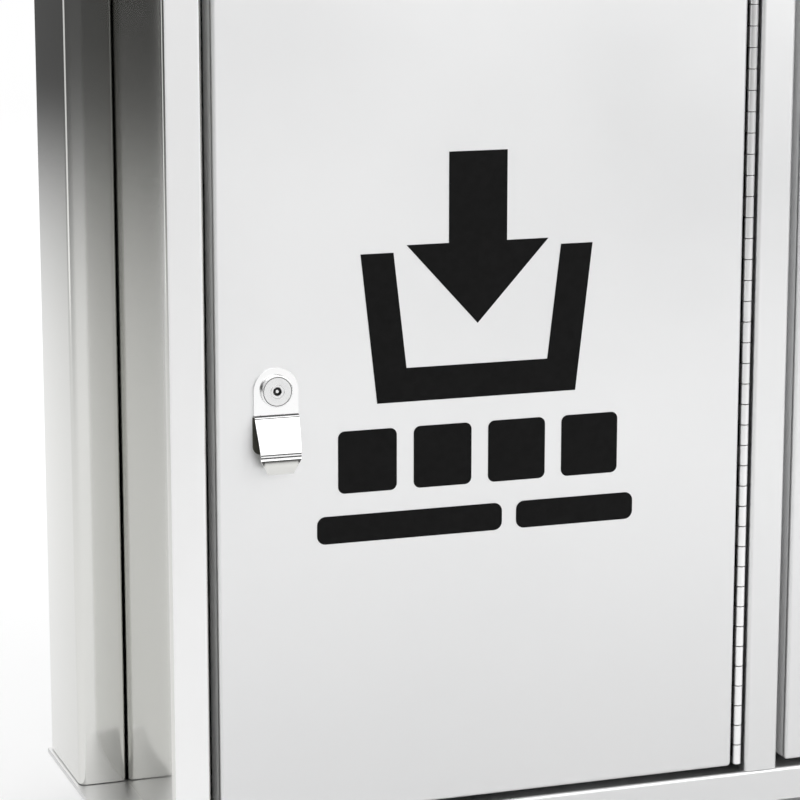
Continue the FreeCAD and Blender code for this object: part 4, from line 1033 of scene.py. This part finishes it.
def finger_pull(side):
    columns = 12
    points = []
    for z in pull_stations():
        half = max(pull_half_width(z), PULL_TIP)
        for column in range(columns + 1):
            x = half * (2 * column / columns - 1)
            points.append((LOCK[side].x + x, FRONT - PULL_LIFT - pull_depth(z), LOCK[side].z + z))
    rows = len(points) // (columns + 1)
    faces = []
    for row in range(rows - 1):
        for column in range(columns):
            a = row * (columns + 1) + column
            faces.append((a, a + 1, a + columns + 2, a + columns + 1))
    piece = new_piece(f"{side}_pull", points, faces, "chrome", "chrome_plate")
    if piece.data.polygons[0].normal.y > 0:
        piece.data.flip_normals()
    wall = piece.modifiers.new("sheet", "SOLIDIFY")
    wall.thickness = PULL_SHEET
    wall.offset = 1.0
    wall.use_even_offset = True
    make_real(piece)
    tidy_mesh(piece.data)
    soften(piece, PULL_EDGE, angle=50)
    piece.data.materials.append(FINISH["dull"])
    # Dark backing colour, a painted shade, for the hood's inner faces and the backing sheet.
    piece.data.materials.append(FINISH["tongue"])
    # The lip takes the darker polished-steel finish, a painted shade on the chrome sheet.
    piece.data.materials.append(FINISH["mirror"])
    lip_from = FOLD_ONE - FOLD_TWO + GROOVE_RUN
    for polygon in piece.data.polygons:
        run = LOCK[side].z + FOLD_ONE - polygon.center.z
        # Faces in the fold bands are painted near-black, a painted shade in the creases.
        if any(low <= run <= high for low, high in FOLD_SHADE_BANDS):
            polygon.material_index = 1
        elif run > FOLD_SHADE_BANDS[0][0] and polygon.normal.y > 0.3:
            polygon.material_index = 2
        elif run > lip_from:
            polygon.material_index = 3
    merge_into(piece, tongue(side))
    seat(piece, f"{side}_door", f"{side}_finger_pull")


for side in SIDES:
    finger_pull(side)
print("stations down the pull:", len(pull_stations()))

# %% [markdown]
# ## Lock head and key
# The lock's head is a turned disc with a rolled edge. The core in its middle takes a tubular
# key: a ring-shaped slot round a small post. Turned shapes come from a profile, so each is a
# short list of radii and depths.

# %% Lock head and core
HEAD_RADIUS = 9.25 * MM
HEAD_DEPTH = 3.0 * MM
CORE_RADIUS = 4.0 * MM
BODY_RADIUS = 8.0 * MM
BODY_BACK = 21.0 * MM
NECK_STEP = 0.5 * MM
NECK_HEIGHT = 0.35 * MM
HEAD_ROLL = 0.45 * MM
FACE_GROOVE = (8.15 * MM, 8.55 * MM)
GROOVE_FLOOR = 0.3 * MM
KEYWAY = 2.5 * MM
KEY_POST = 1.1 * MM
KEYWAY_DEPTH = 2.5 * MM
CORE_TAIL = 2.9 * MM
CAM_SEAT = 24.2 * MM


def turned(name, profile, side, finish, slot, dark_zones=(), steps=64, closed=True):
    """A piece turned about the lock's axis; heights run out of the door, towards -Y.
    A dark zone, from and to a radius and a depth, takes the near-black painted shade of a hollow."""
    points, faces = lathe(profile, steps, closed=closed)
    turn = Matrix.Translation((LOCK[side].x, FRONT - PULL_SHEET, LOCK[side].z))
    turn = turn @ Matrix.Rotation(math.pi / 2, 4, "X")
    piece = new_piece(name, moved(points, turn), faces, finish, slot, smooth=True)
    piece.data.materials.append(FINISH["dull"])
    centre = Vector((LOCK[side].x, LOCK[side].z))
    for polygon in piece.data.polygons:
        reach = (Vector((polygon.center.x, polygon.center.z)) - centre).length
        depth = (FRONT - PULL_SHEET) - polygon.center.y
        if any(a <= reach <= b and c <= depth <= d for a, b, c, d in dark_zones):
            polygon.material_index = 1
    piece.data.set_sharp_from_angle(angle=math.radians(40))
    return piece


def rolled_edge(radius, low, high, roll, steps=6):
    """Points round the outer edge of a disc, from its side up on to its face."""
    points = [(radius, low)]
    for i in range(steps + 1):
        angle = math.pi / 2 * i / steps
        points.append((radius - roll + roll * math.cos(angle), high - roll + roll * math.sin(angle)))
    return points + [(radius - roll - 0.08 * MM, high)]


for side in SIDES:
    bore = CORE_RADIUS + 0.05 * MM
    neck = HEAD_RADIUS - NECK_STEP
    head = [(BODY_RADIUS, 0.0), (neck, 0.0), (neck, NECK_HEIGHT)]
    head += rolled_edge(HEAD_RADIUS, NECK_HEIGHT, HEAD_DEPTH, HEAD_ROLL)
    head += [(FACE_GROOVE[1], HEAD_DEPTH), (FACE_GROOVE[1], HEAD_DEPTH - GROOVE_FLOOR)]
    head += [(FACE_GROOVE[0], HEAD_DEPTH - GROOVE_FLOOR), (FACE_GROOVE[0], HEAD_DEPTH)]
    head += [(bore + 0.25 * MM, HEAD_DEPTH), (bore + 0.15 * MM, HEAD_DEPTH)]
    head += [(bore, HEAD_DEPTH - 0.15 * MM)]
    head += [(bore, -BODY_BACK - PULL_SHEET), (BODY_RADIUS, -BODY_BACK - PULL_SHEET)]
    # Painted shade: the neck under the head and the groove in its face are painted near-black for their shade.
    neck_zone = (neck - 0.2 * MM, HEAD_RADIUS - 0.1 * MM, 0.0, NECK_HEIGHT + 0.01 * MM)
    groove_zone = (FACE_GROOVE[0] - 0.01 * MM, FACE_GROOVE[1] + 0.01 * MM,
                   HEAD_DEPTH - GROOVE_FLOOR - 0.01 * MM, HEAD_DEPTH - 0.01 * MM)
    seat(turned(f"{side}_lock_head", head, side, "head", "chrome_plate", [neck_zone, groove_zone]),
         f"{side}_door", f"{side}_lock_body")
    back = (FRONT - PULL_SHEET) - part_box(f"{side}_lock_core")[1].y
    face = HEAD_DEPTH - 0.08 * MM
    well = face - KEYWAY_DEPTH
    core = [(0.0, face - 0.2 * MM), (KEY_POST - 0.3 * MM, face - 0.2 * MM), (KEY_POST, face - 0.5 * MM)]
    core += [(KEY_POST, well), (KEYWAY, well), (KEYWAY, face - 0.2 * MM), (KEYWAY + 0.2 * MM, face)]
    core += [(KEYWAY + 0.3 * MM, face), (CORE_RADIUS - 0.22 * MM, face)]
    core += [(CORE_RADIUS - 0.12 * MM, face), (CORE_RADIUS, face - 0.12 * MM)]
    core += [(CORE_RADIUS, -CAM_SEAT), (CORE_TAIL, -CAM_SEAT), (CORE_TAIL, back), (0.0, back)]
    # Painted shade: the keyway's ring is painted near-black for its shade.
    key_zone = (KEY_POST - 0.05 * MM, KEYWAY + 0.01 * MM, 0.0, face - 0.25 * MM)
    seat(turned(f"{side}_lock_key_core", core, side, "head", "chrome_plate", [key_zone],
                closed=False),
         f"{side}_lock", f"{side}_lock_core")

# %% [markdown]
# ## Sign on the door
# Signs on such doors are cut from black film. This one is plain: an arrow that drops into an
# open container, with four blocks and two bars under it, and no lettering. Each shape is a
# flat outline given a thickness, so it is a thin solid with real edges.

# %% Door sign
FILM = 0.2 * MM
LIFT = 0.03 * MM


def film_shape(name, outlines, side):
    """Thin solids from outlines in millimetres from the door's lower left corner."""
    corner = DOOR[side][0]
    points = []
    faces = []
    for outline in outlines:
        start = len(points)
        count = len(outline)
        for depth in (LIFT, LIFT + FILM):
            for x, z in outline:
                points.append((corner.x + x * MM, FRONT - depth, corner.z + z * MM))
        faces.append(tuple(start + i for i in range(count)))
        faces.append(tuple(start + count + i for i in reversed(range(count))))
        for i in range(count):
            j = (i + 1) % count
            faces.append((start + i, start + j, start + count + j, start + count + i))
    return new_piece(name, points, faces, "film", "black_plastic")


def rounded_rectangle(low_x, low_z, high_x, high_z, radius, steps=6):
    """An outline with round corners, counter-clockwise."""
    outline = []
    centres = [
        (high_x - radius, high_z - radius, 0), (low_x + radius, high_z - radius, 90),
        (low_x + radius, low_z + radius, 180), (high_x - radius, low_z + radius, 270),
    ]
    for x, z, turn in centres:
        for i in range(steps + 1):
            angle = math.radians(turn + 90 * i / steps)
            outline.append((x + radius * math.cos(angle), z + radius * math.sin(angle)))
    return outline


SIGN_MIDDLE = 159.0
BLOCK_FROM = 73
BLOCK_STEP = 46.5
BLOCK_WIDTH = 36
BLOCK_Z = (194, 231)
BLOCK_CORNER = 4
BAR_Z = (164.5, 181)
BAR_SPANS = [(60, 175), (184, 259)]
BAR_CORNER = 5
ARROW = [(-18, 391), (18, 391), (18, 338), (44, 338), (0, 290), (-44, 338), (-18, 338)]
BIN_LEFT = [(-72, 334), (-52, 334), (-44, 266), (0, 266), (0, 246), (-62, 246)]
BIN_RIGHT = [(-x, z) for x, z in reversed(BIN_LEFT)]
for side in SIDES:
    outlines = []
    for shape in (ARROW, BIN_LEFT, BIN_RIGHT):
        outlines.append([(SIGN_MIDDLE + x, z) for x, z in shape])
    seat(film_shape(f"{side}_door_pictogram", outlines, side), f"{side}_door")
    starts = [BLOCK_FROM + BLOCK_STEP * i for i in range(4)]
    blocks = [rounded_rectangle(x, BLOCK_Z[0], x + BLOCK_WIDTH, BLOCK_Z[1], BLOCK_CORNER)
              for x in starts]
    bars = [rounded_rectangle(low, BAR_Z[0], high, BAR_Z[1], BAR_CORNER) for low, high in BAR_SPANS]
    seat(film_shape(f"{side}_door_blocks", blocks + bars, side), f"{side}_door")
